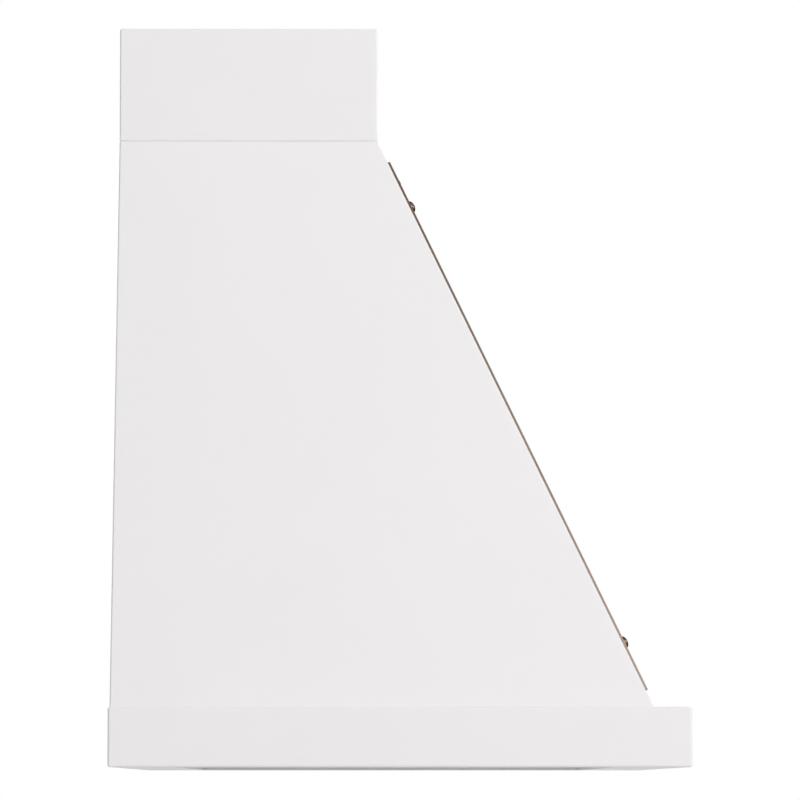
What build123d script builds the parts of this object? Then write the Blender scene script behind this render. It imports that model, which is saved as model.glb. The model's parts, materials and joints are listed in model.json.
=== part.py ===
from build123d import *
import os
from math import cos, radians, sin

# Wall-hung range hood. Origin: middle of the lower back edge, on the wall plane.
# +X to the right seen from the room, -Y out of the wall, +Z up. Millimetres.

# Overall shape
HOOD_WIDTH = 914.0
HOOD_DEPTH = 578.0
HOOD_HEIGHT = 764.6
APRON_HEIGHT = 59.5
COLLAR_HEIGHT = 117.5
LEDGE = 35.7
COLLAR_WIDTH = 532.0
COLLAR_DEPTH = 266.8

# Painted sheet metal
SHEET = 1.2
BEND_RADIUS = 1.8
FLANGE = 16.0
TOP_PLATE = 1.0
TOP_PLATE_INSET = 0.6
SEAM_INSET = 10.0
BACK_GAP = 0.8

# Apron, a frame of folded channels
APRON_SHEET = 1.5
APRON_RADIUS = 2.4
APRON_SHELF = 62.0
LIP_FRONT = 77.0
LIP_SIDE = 72.0
LIP_REAR = 69.0

# Straps on the sloped front
STRAP_WIDTH = 38.0
STRAP_THICKNESS = 2.4
STRAP_EDGE = 0.4
STRAP_INSET = 2.0
STRAP_FOOT_MARGIN = 17.6
STRAP_HEAD_MARGIN = 22.2
STRAP_GAP = 0.3
RIVET_END_DISTANCE = 47.1
CROSS_RIVET_END_DISTANCE = 22.5
RIVET_RADIUS = 6.5
RIVET_HEIGHT = 4.1
RIVET_SHANK = 3.0
RIVET_TAIL_RADIUS = 5.0
RIVET_TAIL = 2.2
RIVET_CLEARANCE = 0.1

# Wall fixing
STUD_SPACING = 406.4
WALL_HOLE_FOOT_MARGIN = 100.5
WALL_HOLE_HEAD_MARGIN = 87.1
WALL_HOLE_RADIUS = 4.5
RAIL_HEIGHT = 40.0
RAIL_THICKNESS = 3.0
RAIL_MARGIN = 40.0

# Collar screws
SCREW_RADIUS = 2.0
SCREW_HEAD_RADIUS = 3.8
SCREW_HEAD = 2.4
SCREW_POINT = 4.0
SCREW_CLEARANCE = 0.1
SCREW_SPAN_FRONT = 300.0
SCREW_SPAN_SIDE = 120.0

# Stainless liner and control panel
LINER_SHEET = 1.0
LINER_FLANGE = 18.0
LINER_TOP = 56.0
REAR_SHELF_HEIGHT = 18.0
REAR_SHELF_DEPTH = 23.0
PANEL_HEIGHT = 28.0
PANEL_DEPTH = 97.0
CENTRE_RAIL = 6.0
CENTRE_RAIL_LOW = 33.0

# Baffle filters
FILTER_BOTTOM = 27.0
FILTER_THICKNESS = 24.0
FILTER_SHEET = 1.2
FILTER_RIM = 14.0
FILTER_SIDE_GAP = 1.5
FILTER_FRONT_GAP = 2.0
FILTER_REAR_ROOM = 28.0
PIVOT_SETBACK = 10.0
PIVOT_RADIUS = 3.0
PIVOT_CLEARANCE = 0.05
PIVOT_END = 1.5
PIVOT_MIDDLE_GAP = 0.6
STOP_OVERHANG = 10.0
STOP_GAP = 0.3
BAFFLE_COUNT = 11
BAFFLE_SHEET = 0.8
BAFFLE_WEB = 22.0
BAFFLE_LEG = 9.0
HANDLE_SPAN = 90.0
HANDLE_DROP = 17.0
HANDLE_ROD = 2.5
HANDLE_BEND = 7.0
CLIP_SPACING = 190.0
CLIP_WIDTH = 14.0
CLIP_LENGTH = 12.0
CLIP_GAP = 0.6

# Lamps
LAMP_END_DISTANCE = 135.0
LAMP_RADIUS = 30.0
LAMP_CLEARANCE = 0.4
LAMP_CAN = 12.0
LAMP_CORE_RADIUS = 14.0
FIN_COUNT = 4
FIN_PITCH = 5.0
FIN_THICKNESS = 2.0
BEZEL_RADIUS = 36.0
BEZEL_BORE = 28.0
BEZEL_HEIGHT = 2.5
LENS_HEIGHT = 1.7
LENS_CLEARANCE = 0.3

# Rotary controls
KNOB_SPACING = 90.0
KNOB_RADIUS = 17.0
KNOB_SKIRT = 5.0
KNOB_GRIP_RADIUS = 13.0
KNOB_GRIP = 12.0
KNOB_FLUTES = 16
KNOB_FLUTE_RADIUS = 1.4
KNOB_GAP = 1.5
KNOB_SOCKET = 12.0
KNOB_CUT = 1.0
SPINDLE_RADIUS = 3.0
SPINDLE_CLEARANCE = 0.05
SPINDLE_HOLE = 4.0
SPINDLE_IN_SWITCH = 12.0
SWITCH_WIDTH = 36.0
SWITCH_HEIGHT = 24.0

# Blower
BLOWER_HEIGHT = 285.0
SCROLL_LARGE = 165.0
SCROLL_SMALL = 118.0
TONGUE_ANGLE = 290.0
SCROLL_STEP = 10.0
SCROLL_OUTLET = 185.0
SCROLL_HALF_WIDTH = 86.0
SCROLL_SHEET = 1.2
INLET_RADIUS = 88.0
INLET_LIP = 8.0
WHEEL_RADIUS = 105.0
WHEEL_EYE = 90.0
WHEEL_WIDTH = 140.0
WHEEL_SHEET = 1.2
WHEEL_BLADES = 36
BLADE_CURVE = 11.0
BLADE_SHEET = 0.9
HUB_RADIUS = 12.0
HUB_LENGTH = 16.0
SHAFT_RADIUS = 4.0
SHAFT_CLEARANCE = 0.03
SHAFT_IN_MOTOR = 40.0
MOTOR_RADIUS = 48.0
MOTOR_GAP = 14.0
MOTOR_TAIL = 12.0
MOTOR_FLANGE_RADIUS = 58.0
MOTOR_FLANGE = 2.0
MOTOR_EDGE = 5.0
SPIDER_SHEET = 2.0
SPIDER_REACH = 112.0
SPIDER_ARM = 14.0
SPIDER_CLEARANCE = 1.0
SPIDER_ANGLES = (60, 180, 300)
BRACKET_WIDTH = 100.0
BRACKET_HEIGHT = 110.0
BRACKET_SHEET = 2.0
ADAPTER_FLANGE = 12.0
ADAPTER_SHEET = 1.2

# Duct collar and damper
DUCT_RADIUS = 75.0
DUCT_SHEET = 1.2
DUCT_HEIGHT = 58.0
DUCT_FLANGE = 20.0
DAMPER_RISE = 24.0
DAMPER_ROD = 2.5
DAMPER_CLEARANCE = 0.05
KNUCKLE_RADIUS = 4.0
KNUCKLE_GAP = 1.0
KNUCKLE_INNER = 22.0
KNUCKLE_OUTER = 62.0
FLAP_THICKNESS = 0.8
FLAP_GAP = 1.8
FLAP_STOP_WIDTH = 16.0
FLAP_STOP_REACH = 5.0
FLAP_STOP_HEIGHT = 3.0
FLAP_STOP_GAP = 0.3

# Electrics
CABLE_HOLE = 11.1
CABLE_INSET = 76.0
BOX_WIDTH = 90.0
BOX_DEPTH = 100.0
BOX_HEIGHT = 46.0
BOX_SHEET = 1.2
CAPACITOR_RADIUS = 16.0
CAPACITOR_LENGTH = 60.0
CAPACITOR_RIM = 3.0

# How far a cutting shape runs past what it cuts
REACH = 60.0

# Places worked out from the sizes above
CANOPY_TOP = HOOD_HEIGHT - COLLAR_HEIGHT
RISE = CANOPY_TOP - APRON_HEIGHT
FOOT_HALF = HOOD_WIDTH / 2 - LEDGE
FOOT_DEPTH = HOOD_DEPTH - LEDGE
COLLAR_HALF = COLLAR_WIDTH / 2
COLLAR_FOOT = CANOPY_TOP + TOP_PLATE
BACK_FACE = -2 * SHEET
STRAP_LOW = APRON_HEIGHT + STRAP_FOOT_MARGIN
STRAP_HIGH = CANOPY_TOP - STRAP_HEAD_MARGIN
WALL_HOLE_LOW = APRON_HEIGHT + WALL_HOLE_FOOT_MARGIN
WALL_HOLE_HIGH = CANOPY_TOP - WALL_HOLE_HEAD_MARGIN
OPEN_HALF = HOOD_WIDTH / 2 - LIP_SIDE
OPEN_FRONT = LIP_FRONT - HOOD_DEPTH
OPEN_REAR = -LIP_REAR
PANEL_REAR = OPEN_FRONT + PANEL_DEPTH
PANEL_Y = OPEN_FRONT + PANEL_DEPTH / 2
LAMP_X = OPEN_HALF - LAMP_END_DISTANCE
FILTER_TOP = FILTER_BOTTOM + FILTER_THICKNESS
FILTER_REAR = OPEN_REAR - FILTER_REAR_ROOM
FILTER_FRONT = PANEL_REAR + LINER_SHEET + FILTER_FRONT_GAP
PIVOT_Y = FILTER_REAR - PIVOT_SETBACK
PIVOT_Z = FILTER_BOTTOM + FILTER_THICKNESS / 2
FILTER_INNER = CENTRE_RAIL / 2 + FILTER_SIDE_GAP
FILTER_OUTER = OPEN_HALF - FILTER_SIDE_GAP
DUCT_Y = -COLLAR_DEPTH / 2
DUCT_INSIDE = DUCT_RADIUS - DUCT_SHEET
DUCT_TOP = CANOPY_TOP + DUCT_HEIGHT
DAMPER_HEIGHT = CANOPY_TOP + DAMPER_RISE
CABLE_X = COLLAR_HALF - CABLE_INSET
TONGUE_Y = SCROLL_SMALL * cos(radians(TONGUE_ANGLE))
BLOWER_Y = DUCT_Y - (SCROLL_LARGE + TONGUE_Y) / 2
OUTLET_Z = BLOWER_HEIGHT + SCROLL_OUTLET
SIDES = {"left": -1, "right": 1}

os.makedirs("parts", exist_ok=True)


def save(shape, node):
    """Write one node, as a solid or as a group of separate solids."""
    solids = shape.solids()
    export_step(solids[0] if len(solids) == 1 else Compound(children=list(solids)), f"parts/{node}.step")


def block(x0, x1, y0, y1, z0, z1):
    """A box between two corners, given in any order."""
    centre = Pos((x0 + x1) / 2, (y0 + y1) / 2, (z0 + z1) / 2)
    return centre * Box(abs(x1 - x0), abs(y1 - y0), abs(z1 - z0))


def upright(x, y, z0, z1, radius):
    """A cylinder standing along Z."""
    return Pos(x, y, (z0 + z1) / 2) * Cylinder(radius, abs(z1 - z0))


def lying(x0, x1, y, z, radius):
    """A cylinder lying along X."""
    return Pos((x0 + x1) / 2, y, z) * Rot(0, 90, 0) * Cylinder(radius, abs(x1 - x0))


def rounded(solid, radius):
    """Round every edge of a plain solid."""
    return fillet(solid.edges(), radius)


# Planes of the tapered canopy
FRONT_NORMAL = Vector(0, -RISE, FOOT_DEPTH - COLLAR_DEPTH).normalized()


def side_normal(side):
    return Vector(side * RISE, 0, FOOT_HALF - COLLAR_HALF).normalized()


def foot_corner(side):
    return Vector(side * FOOT_HALF, -FOOT_DEPTH, APRON_HEIGHT)


def corner_direction(side):
    return (Vector(side * COLLAR_HALF, -COLLAR_DEPTH, CANOPY_TOP) - foot_corner(side)).normalized()


def inward(side):
    """Direction in the sloped front, square to its edge, towards the middle."""
    across = FRONT_NORMAL.cross(corner_direction(side)).normalized()
    return across if across.X * side < 0 else across * -1


def edge_plane(side, distance):
    """Plane along the front's edge, square to the front, a distance in from the edge."""
    return Plane(origin=foot_corner(side) + inward(side) * distance, z_dir=inward(side))


def on_front(side, distance, height):
    """Frame on the sloped front at a height, a distance in from the edge, Z out of the sheet."""
    start = foot_corner(side) + inward(side) * distance
    along = corner_direction(side)
    point = start + along * ((height - start.Z) / along.Z)
    return Plane(origin=point, x_dir=(1, 0, 0), z_dir=FRONT_NORMAL)


def tapered(inset, low, high, back):
    """Solid inside the canopy's three sloped faces, each moved inwards by the inset."""
    solid = block(-HOOD_WIDTH, HOOD_WIDTH, -2 * HOOD_DEPTH, back, low, high)
    front = Plane(origin=foot_corner(1) - FRONT_NORMAL * inset, z_dir=FRONT_NORMAL)
    solid = split(solid, bisect_by=front, keep=Keep.BOTTOM)
    for side in SIDES.values():
        face = Plane(origin=foot_corner(side) - side_normal(side) * inset, z_dir=side_normal(side))
        solid = split(solid, bisect_by=face, keep=Keep.BOTTOM)
    return solid


# Strap rivets, and the holes for their shanks
CROSS_LOW = STRAP_HIGH - STRAP_WIDTH * corner_direction(1).Z
STRAP_MIDDLE = STRAP_INSET + STRAP_WIDTH / 2
CROSS_INSET = STRAP_INSET + STRAP_WIDTH + STRAP_GAP
rivet_frames = []
for side in SIDES.values():
    rivet_frames.append(on_front(side, STRAP_MIDDLE, STRAP_LOW + RIVET_END_DISTANCE))
    rivet_frames.append(on_front(side, STRAP_MIDDLE, STRAP_HIGH - RIVET_END_DISTANCE))
    cross_place = CROSS_INSET + CROSS_RIVET_END_DISTANCE
    rivet_frames.append(on_front(side, cross_place, (CROSS_LOW + STRAP_HIGH) / 2))

CAP_RADIUS = (RIVET_RADIUS**2 + RIVET_HEIGHT**2) / (2 * RIVET_HEIGHT)
dome = Pos(0, 0, STRAP_THICKNESS + RIVET_HEIGHT - CAP_RADIUS) * Sphere(CAP_RADIUS)
dome &= block(-CAP_RADIUS, CAP_RADIUS, -CAP_RADIUS, CAP_RADIUS, STRAP_THICKNESS, REACH)
rivet = dome + upright(0, 0, -SHEET, STRAP_THICKNESS, RIVET_SHANK)
rivet += upright(0, 0, -SHEET - RIVET_TAIL, -SHEET, RIVET_TAIL_RADIUS)
rivet_hole = upright(0, 0, -REACH / 4, REACH / 4, RIVET_SHANK + RIVET_CLEARANCE)
rivet_holes = Part() + [frame * rivet_hole for frame in rivet_frames]
save(Part() + [frame * rivet for frame in rivet_frames], "strap_rivets")

# Straps: one along each edge of the front, and one across the top between them
for name, side in SIDES.items():
    strap = tapered(-STRAP_THICKNESS, STRAP_LOW, STRAP_HIGH, 0)
    strap = split(strap, edge_plane(side, STRAP_INSET), Keep.TOP)
    strap = split(strap, edge_plane(side, STRAP_INSET + STRAP_WIDTH), Keep.BOTTOM)
    strap = split(strap, Plane(origin=foot_corner(side), z_dir=FRONT_NORMAL), Keep.TOP)
    strap = fillet(strap.faces().sort_by(Axis(foot_corner(side), FRONT_NORMAL))[-1].edges(), STRAP_EDGE)
    save(strap - rivet_holes, f"strap_{name}")

cross = tapered(-STRAP_THICKNESS, CROSS_LOW, STRAP_HIGH, 0)
for side in SIDES.values():
    cross = split(cross, edge_plane(side, CROSS_INSET), Keep.TOP)
cross = split(cross, Plane(origin=foot_corner(1), z_dir=FRONT_NORMAL), Keep.TOP)
cross = fillet(cross.faces().sort_by(Axis(foot_corner(1), FRONT_NORMAL))[-1].edges(), STRAP_EDGE)
save(cross - rivet_holes, "strap_cross")

# Collar screws, through the collar's flange, the top plate and the canopy's flange
FLANGE_MIDDLE = FLANGE / 2
screw_places = [(x, FLANGE_MIDDLE - COLLAR_DEPTH) for x in (-SCREW_SPAN_FRONT / 2, SCREW_SPAN_FRONT / 2)]
for side in SIDES.values():
    for step in (-1, 1):
        screw_places.append((side * (COLLAR_HALF - FLANGE_MIDDLE), DUCT_Y + step * SCREW_SPAN_SIDE / 2))
SCREW_SEAT = COLLAR_FOOT + SHEET
screw = upright(0, 0, SCREW_SEAT, SCREW_SEAT + SCREW_HEAD, SCREW_HEAD_RADIUS)
screw = fillet(screw.edges().sort_by(Axis.Z)[-1], SCREW_HEAD / 2)
screw += upright(0, 0, CANOPY_TOP - SHEET - SCREW_POINT, SCREW_SEAT, SCREW_RADIUS)
screw_hole = upright(0, 0, CANOPY_TOP - REACH / 4, COLLAR_FOOT + REACH / 4, SCREW_RADIUS + SCREW_CLEARANCE)
screw_holes = Part() + [Pos(x, y, 0) * screw_hole for x, y in screw_places]
save(Part() + [Pos(x, y, 0) * screw for x, y in screw_places], "collar_screws")

# Canopy: a folded shell, open at the wall, parted under the straps into two side panels and the front
canopy = rounded(tapered(0, APRON_HEIGHT - REACH, CANOPY_TOP, 0), BEND_RADIUS)
canopy &= block(-HOOD_WIDTH, HOOD_WIDTH, -HOOD_DEPTH, 0, APRON_HEIGHT, CANOPY_TOP)
canopy -= rounded(tapered(SHEET, APRON_HEIGHT + SHEET, CANOPY_TOP - SHEET, -SHEET), BEND_RADIUS - SHEET)
canopy -= tapered(FLANGE, APRON_HEIGHT - REACH, CANOPY_TOP + REACH, REACH)
canopy = canopy - rivet_holes - screw_holes
front_panel = canopy
for name, side in SIDES.items():
    save(split(canopy, edge_plane(side, SEAM_INSET), Keep.BOTTOM), f"{name}_side_panel")
    front_panel = split(front_panel, edge_plane(side, SEAM_INSET), Keep.TOP)
save(front_panel, "front_panel")

# Back panel inside the side panels' rear flanges, with the wall screw holes, and its two rails
wall_holes = Part()
for side in SIDES.values():
    for height in (WALL_HOLE_LOW, WALL_HOLE_HIGH):
        hole = Pos(side * STUD_SPACING / 2, 0, height) * Rot(90, 0, 0) * Cylinder(WALL_HOLE_RADIUS, REACH)
        wall_holes += hole
back_panel = tapered(FLANGE + BACK_GAP, APRON_HEIGHT, CANOPY_TOP, 0)
back_panel += tapered(SHEET + BACK_GAP, APRON_HEIGHT + SHEET + BACK_GAP, CANOPY_TOP - SHEET - BACK_GAP, 0)
back_panel &= block(-HOOD_WIDTH, HOOD_WIDTH, BACK_FACE, -SHEET, 0, HOOD_HEIGHT)
save(back_panel - wall_holes, "back_panel")
for name, height in {"lower": WALL_HOLE_LOW, "upper": WALL_HOLE_HIGH}.items():
    half = STUD_SPACING / 2 + RAIL_MARGIN
    low = height - RAIL_HEIGHT / 2
    rail = block(-half, half, BACK_FACE - RAIL_THICKNESS, BACK_FACE, low, low + RAIL_HEIGHT)
    save(rail - wall_holes, f"{name}_mounting_rail")

# Apron: a ring of channel, cut at its mitres into four lengths
apron = rounded(block(-HOOD_WIDTH / 2, HOOD_WIDTH / 2, -HOOD_DEPTH, 0, 0, APRON_HEIGHT), APRON_RADIUS)
hollow = block(
    APRON_SHEET - HOOD_WIDTH / 2,
    HOOD_WIDTH / 2 - APRON_SHEET,
    APRON_SHEET - HOOD_DEPTH,
    -APRON_SHEET,
    APRON_SHEET,
    APRON_HEIGHT - APRON_SHEET,
)
apron -= rounded(hollow, APRON_RADIUS - APRON_SHEET)
apron -= block(-OPEN_HALF, OPEN_HALF, OPEN_FRONT, OPEN_REAR, -REACH, APRON_HEIGHT / 2)
SHELF_HALF = HOOD_WIDTH / 2 - APRON_SHELF
apron -= block(
    -SHELF_HALF, SHELF_HALF, APRON_SHELF - HOOD_DEPTH, -APRON_SHELF, APRON_HEIGHT / 2, APRON_HEIGHT + REACH
)
MITRE = LIP_FRONT + REACH
corners = {
    "front_left": (-HOOD_WIDTH / 2, -HOOD_DEPTH),
    "front_right": (HOOD_WIDTH / 2, -HOOD_DEPTH),
    "rear_right": (HOOD_WIDTH / 2, 0),
    "rear_left": (-HOOD_WIDTH / 2, 0),
}
runs = {
    "front": ("front_left", "front_right"),
    "right": ("front_right", "rear_right"),
    "rear": ("rear_right", "rear_left"),
    "left": ("rear_left", "front_left"),
}
for name, (first, second) in runs.items():
    outer = [corners[first], corners[second]]
    inner = [(x - MITRE * (1 if x > 0 else -1), y + MITRE * (1 if y < 0 else -1)) for x, y in reversed(outer)]
    wedge = extrude(make_face(Polyline(*outer, *inner, close=True)), amount=APRON_HEIGHT)
    save(apron & wedge, f"apron_{name}")

# Top plate between canopy and collar, with the duct hole and the cable hole
PLATE_HALF = COLLAR_HALF - TOP_PLATE_INSET
PLATE_FRONT = TOP_PLATE_INSET - COLLAR_DEPTH
top_plate = block(-PLATE_HALF, PLATE_HALF, PLATE_FRONT, -TOP_PLATE_INSET, CANOPY_TOP, COLLAR_FOOT)
top_plate -= upright(0, DUCT_Y, CANOPY_TOP - REACH, HOOD_HEIGHT, DUCT_INSIDE)
cable_hole = upright(CABLE_X, DUCT_Y, CANOPY_TOP - REACH / 4, COLLAR_FOOT + REACH / 4, CABLE_HOLE)
save(top_plate - cable_hole - screw_holes, "top_plate")

# Chimney collar: front and two sides folded from one sheet, with rear flanges, open at the wall
collar = block(-COLLAR_HALF, COLLAR_HALF, -COLLAR_DEPTH, 0, COLLAR_FOOT - REACH, HOOD_HEIGHT)
collar = rounded(collar, BEND_RADIUS)
collar &= block(-COLLAR_HALF, COLLAR_HALF, -COLLAR_DEPTH, 0, COLLAR_FOOT, HOOD_HEIGHT)
INSIDE_HALF = COLLAR_HALF - SHEET
hollow = block(
    -INSIDE_HALF, INSIDE_HALF, SHEET - COLLAR_DEPTH, -SHEET, COLLAR_FOOT + SHEET, HOOD_HEIGHT - SHEET
)
collar -= rounded(hollow, BEND_RADIUS - SHEET)
MOUTH_HALF = COLLAR_HALF - FLANGE
collar -= block(-MOUTH_HALF, MOUTH_HALF, FLANGE - COLLAR_DEPTH, REACH, CANOPY_TOP, HOOD_HEIGHT + REACH)
save(collar - screw_holes, "chimney_collar")

# Liner walls, standing on the lip round the opening
pivot_holes = lying(-HOOD_WIDTH, HOOD_WIDTH, PIVOT_Y, PIVOT_Z, PIVOT_RADIUS + PIVOT_CLEARANCE)
WALL_OUT = OPEN_HALF + LINER_SHEET
FLANGE_TOP = APRON_SHEET + LINER_SHEET
for name, side in SIDES.items():
    wall = block(side * OPEN_HALF, side * WALL_OUT, OPEN_FRONT, OPEN_REAR, APRON_SHEET, LINER_TOP)
    edge = side * (OPEN_HALF + LINER_FLANGE)
    wall += block(side * OPEN_HALF, edge, OPEN_FRONT, OPEN_REAR, APRON_SHEET, FLANGE_TOP)
    save(wall - pivot_holes, f"liner_{name}")

liner_front = block(-WALL_OUT, WALL_OUT, OPEN_FRONT - LINER_SHEET, OPEN_FRONT, APRON_SHEET, LINER_TOP)
liner_front += block(-WALL_OUT, WALL_OUT, OPEN_FRONT - LINER_FLANGE, OPEN_FRONT, APRON_SHEET, FLANGE_TOP)
save(liner_front, "liner_front")

liner_rear = block(-WALL_OUT, WALL_OUT, OPEN_REAR, OPEN_REAR + LINER_SHEET, APRON_SHEET, LINER_TOP)
liner_rear += block(-WALL_OUT, WALL_OUT, OPEN_REAR, OPEN_REAR + LINER_FLANGE, APRON_SHEET, FLANGE_TOP)
SHELF_TOP = REAR_SHELF_HEIGHT + LINER_SHEET
SHELF_EDGE = OPEN_REAR - REAR_SHELF_DEPTH
liner_rear += block(-OPEN_HALF, OPEN_HALF, SHELF_EDGE, OPEN_REAR, REAR_SHELF_HEIGHT, SHELF_TOP)
save(liner_rear, "liner_rear")

# Control panel: a flat strip with an upstand behind, whose top edge stops the filters
PANEL_TOP = PANEL_HEIGHT + LINER_SHEET
UPSTAND = PANEL_REAR + LINER_SHEET
STOP_LOW = FILTER_TOP + STOP_GAP
STOP_TOP = STOP_LOW + LINER_SHEET
STOP_EDGE = UPSTAND + STOP_OVERHANG
panel = block(-OPEN_HALF, OPEN_HALF, OPEN_FRONT, UPSTAND, PANEL_HEIGHT, PANEL_TOP)
panel += block(-OPEN_HALF, OPEN_HALF, OPEN_FRONT, OPEN_FRONT + LINER_SHEET, PANEL_HEIGHT, LINER_TOP)
panel += block(-OPEN_HALF, OPEN_HALF, PANEL_REAR, UPSTAND, PANEL_HEIGHT, STOP_TOP)
for side in SIDES.values():
    panel += block(side * FILTER_INNER, side * OPEN_HALF, PANEL_REAR, STOP_EDGE, STOP_LOW, STOP_TOP)
    panel -= upright(side * LAMP_X, PANEL_Y, 0, LINER_TOP, LAMP_RADIUS + LAMP_CLEARANCE)
    panel -= upright(side * KNOB_SPACING / 2, PANEL_Y, 0, LINER_TOP, SPINDLE_HOLE)
save(panel, "control_panel")

# Centre rail between the filters
rail = block(-CENTRE_RAIL / 2, CENTRE_RAIL / 2, UPSTAND, OPEN_REAR, CENTRE_RAIL_LOW, LINER_TOP)
save(rail - pivot_holes, "centre_rail")

# Spring clips on the upstand, pressing the filters' front edges
CLIP_REACH = FILTER_FRONT_GAP - CLIP_GAP
clip_face = make_face(
    Polyline(
        (UPSTAND, PIVOT_Z - CLIP_LENGTH / 2),
        (UPSTAND + CLIP_REACH, PIVOT_Z - CLIP_LENGTH / 6),
        (UPSTAND + CLIP_REACH, PIVOT_Z + CLIP_LENGTH / 6),
        (UPSTAND, PIVOT_Z + CLIP_LENGTH / 2),
        close=True,
    )
)
clip = extrude(Plane.YZ * clip_face, amount=CLIP_WIDTH / 2, both=True)
FILTER_MIDDLE = (FILTER_INNER + FILTER_OUTER) / 2
clips = []
for side in SIDES.values():
    for step in (-1, 1):
        clips.append(Pos(side * FILTER_MIDDLE + step * CLIP_SPACING / 2, 0, 0) * clip)
save(Part() + clips, "filter_clips")

# Baffle filters: folded frame on pivot stubs, two rows of channels, wire handle
BAFFLE_PITCH = (FILTER_OUTER - FILTER_INNER - 2 * FILTER_SHEET) / BAFFLE_COUNT


def channel(x, web, tip):
    """One baffle across the filter: a flat web at one height and two legs that reach to the tip."""
    turn = 1 if tip > web else -1
    rear = FILTER_REAR - FILTER_SHEET
    front = FILTER_FRONT + FILTER_SHEET
    bar = block(x - BAFFLE_WEB / 2, x + BAFFLE_WEB / 2, front, rear, web, web + turn * BAFFLE_SHEET)
    for edge in (-1, 1):
        outer = x + edge * BAFFLE_WEB / 2
        bar += block(outer, outer - edge * BAFFLE_SHEET, front, rear, web, tip)
    return bar


for name, side in SIDES.items():
    x0, x1 = sorted((side * FILTER_INNER, side * FILTER_OUTER))
    frame = block(x0, x1, FILTER_FRONT, FILTER_REAR, FILTER_BOTTOM, FILTER_TOP)
    frame -= block(
        x0 + FILTER_SHEET,
        x1 - FILTER_SHEET,
        FILTER_FRONT + FILTER_SHEET,
        FILTER_REAR - FILTER_SHEET,
        FILTER_BOTTOM + FILTER_SHEET,
        FILTER_TOP - FILTER_SHEET,
    )
    frame -= block(
        x0 + FILTER_RIM, x1 - FILTER_RIM, FILTER_FRONT + FILTER_RIM, FILTER_REAR - FILTER_RIM, 0, LINER_TOP
    )
    inner_end = side * PIVOT_MIDDLE_GAP / 2
    outer_end = side * (WALL_OUT + PIVOT_END)
    frame += lying(inner_end, side * (FILTER_INNER + FILTER_SHEET), PIVOT_Y, PIVOT_Z, PIVOT_RADIUS)
    frame += lying(side * (FILTER_OUTER - FILTER_SHEET), outer_end, PIVOT_Y, PIVOT_Z, PIVOT_RADIUS)
    save(frame, f"filter_frame_{name}")

    low_web = FILTER_BOTTOM + FILTER_SHEET
    high_web = FILTER_TOP - FILTER_SHEET
    first = x0 + FILTER_SHEET + BAFFLE_PITCH / 2
    baffles = []
    for index in range(BAFFLE_COUNT):
        baffles.append(channel(first + index * BAFFLE_PITCH, low_web, low_web + BAFFLE_LEG))
    for index in range(BAFFLE_COUNT - 1):
        baffles.append(channel(first + (index + 0.5) * BAFFLE_PITCH, high_web, high_web - BAFFLE_LEG))
    save(Part() + baffles, f"filter_baffles_{name}")

    grip_y = FILTER_FRONT + FILTER_RIM / 2
    ends = [side * FILTER_MIDDLE - HANDLE_SPAN / 2, side * FILTER_MIDDLE + HANDLE_SPAN / 2]
    path = FilletPolyline(
        (ends[0], grip_y, FILTER_BOTTOM),
        (ends[0], grip_y, FILTER_BOTTOM - HANDLE_DROP),
        (ends[1], grip_y, FILTER_BOTTOM - HANDLE_DROP),
        (ends[1], grip_y, FILTER_BOTTOM),
        radius=HANDLE_BEND,
    )
    section = Plane(origin=path @ 0, z_dir=path % 0) * Circle(HANDLE_ROD)
    save(sweep(section, path), f"filter_handle_{name}")

# Lamps: finned body through the panel, bezel under it, lens in the bezel
LENS_RADIUS = BEZEL_BORE - LENS_CLEARANCE
for name, side in SIDES.items():
    x = side * LAMP_X
    can_top = PANEL_HEIGHT + LAMP_CAN
    body = upright(x, PANEL_Y, PANEL_HEIGHT, can_top, LAMP_RADIUS)
    body += upright(x, PANEL_Y, can_top, can_top + FIN_COUNT * FIN_PITCH, LAMP_CORE_RADIUS)
    for index in range(1, FIN_COUNT + 1):
        fin = can_top + index * FIN_PITCH
        body += upright(x, PANEL_Y, fin - FIN_THICKNESS, fin, LAMP_RADIUS)
    save(body, f"lamp_body_{name}")
    bezel = upright(x, PANEL_Y, PANEL_HEIGHT - BEZEL_HEIGHT, PANEL_HEIGHT, BEZEL_RADIUS)
    bezel = fillet(bezel.edges().sort_by(Axis.Z)[0], BEZEL_HEIGHT / 2)
    save(bezel - upright(x, PANEL_Y, 0, PANEL_HEIGHT, BEZEL_BORE), f"lamp_bezel_{name}")
    save(upright(x, PANEL_Y, PANEL_HEIGHT - LENS_HEIGHT, PANEL_HEIGHT, LENS_RADIUS), f"lamp_lens_{name}")

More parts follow.
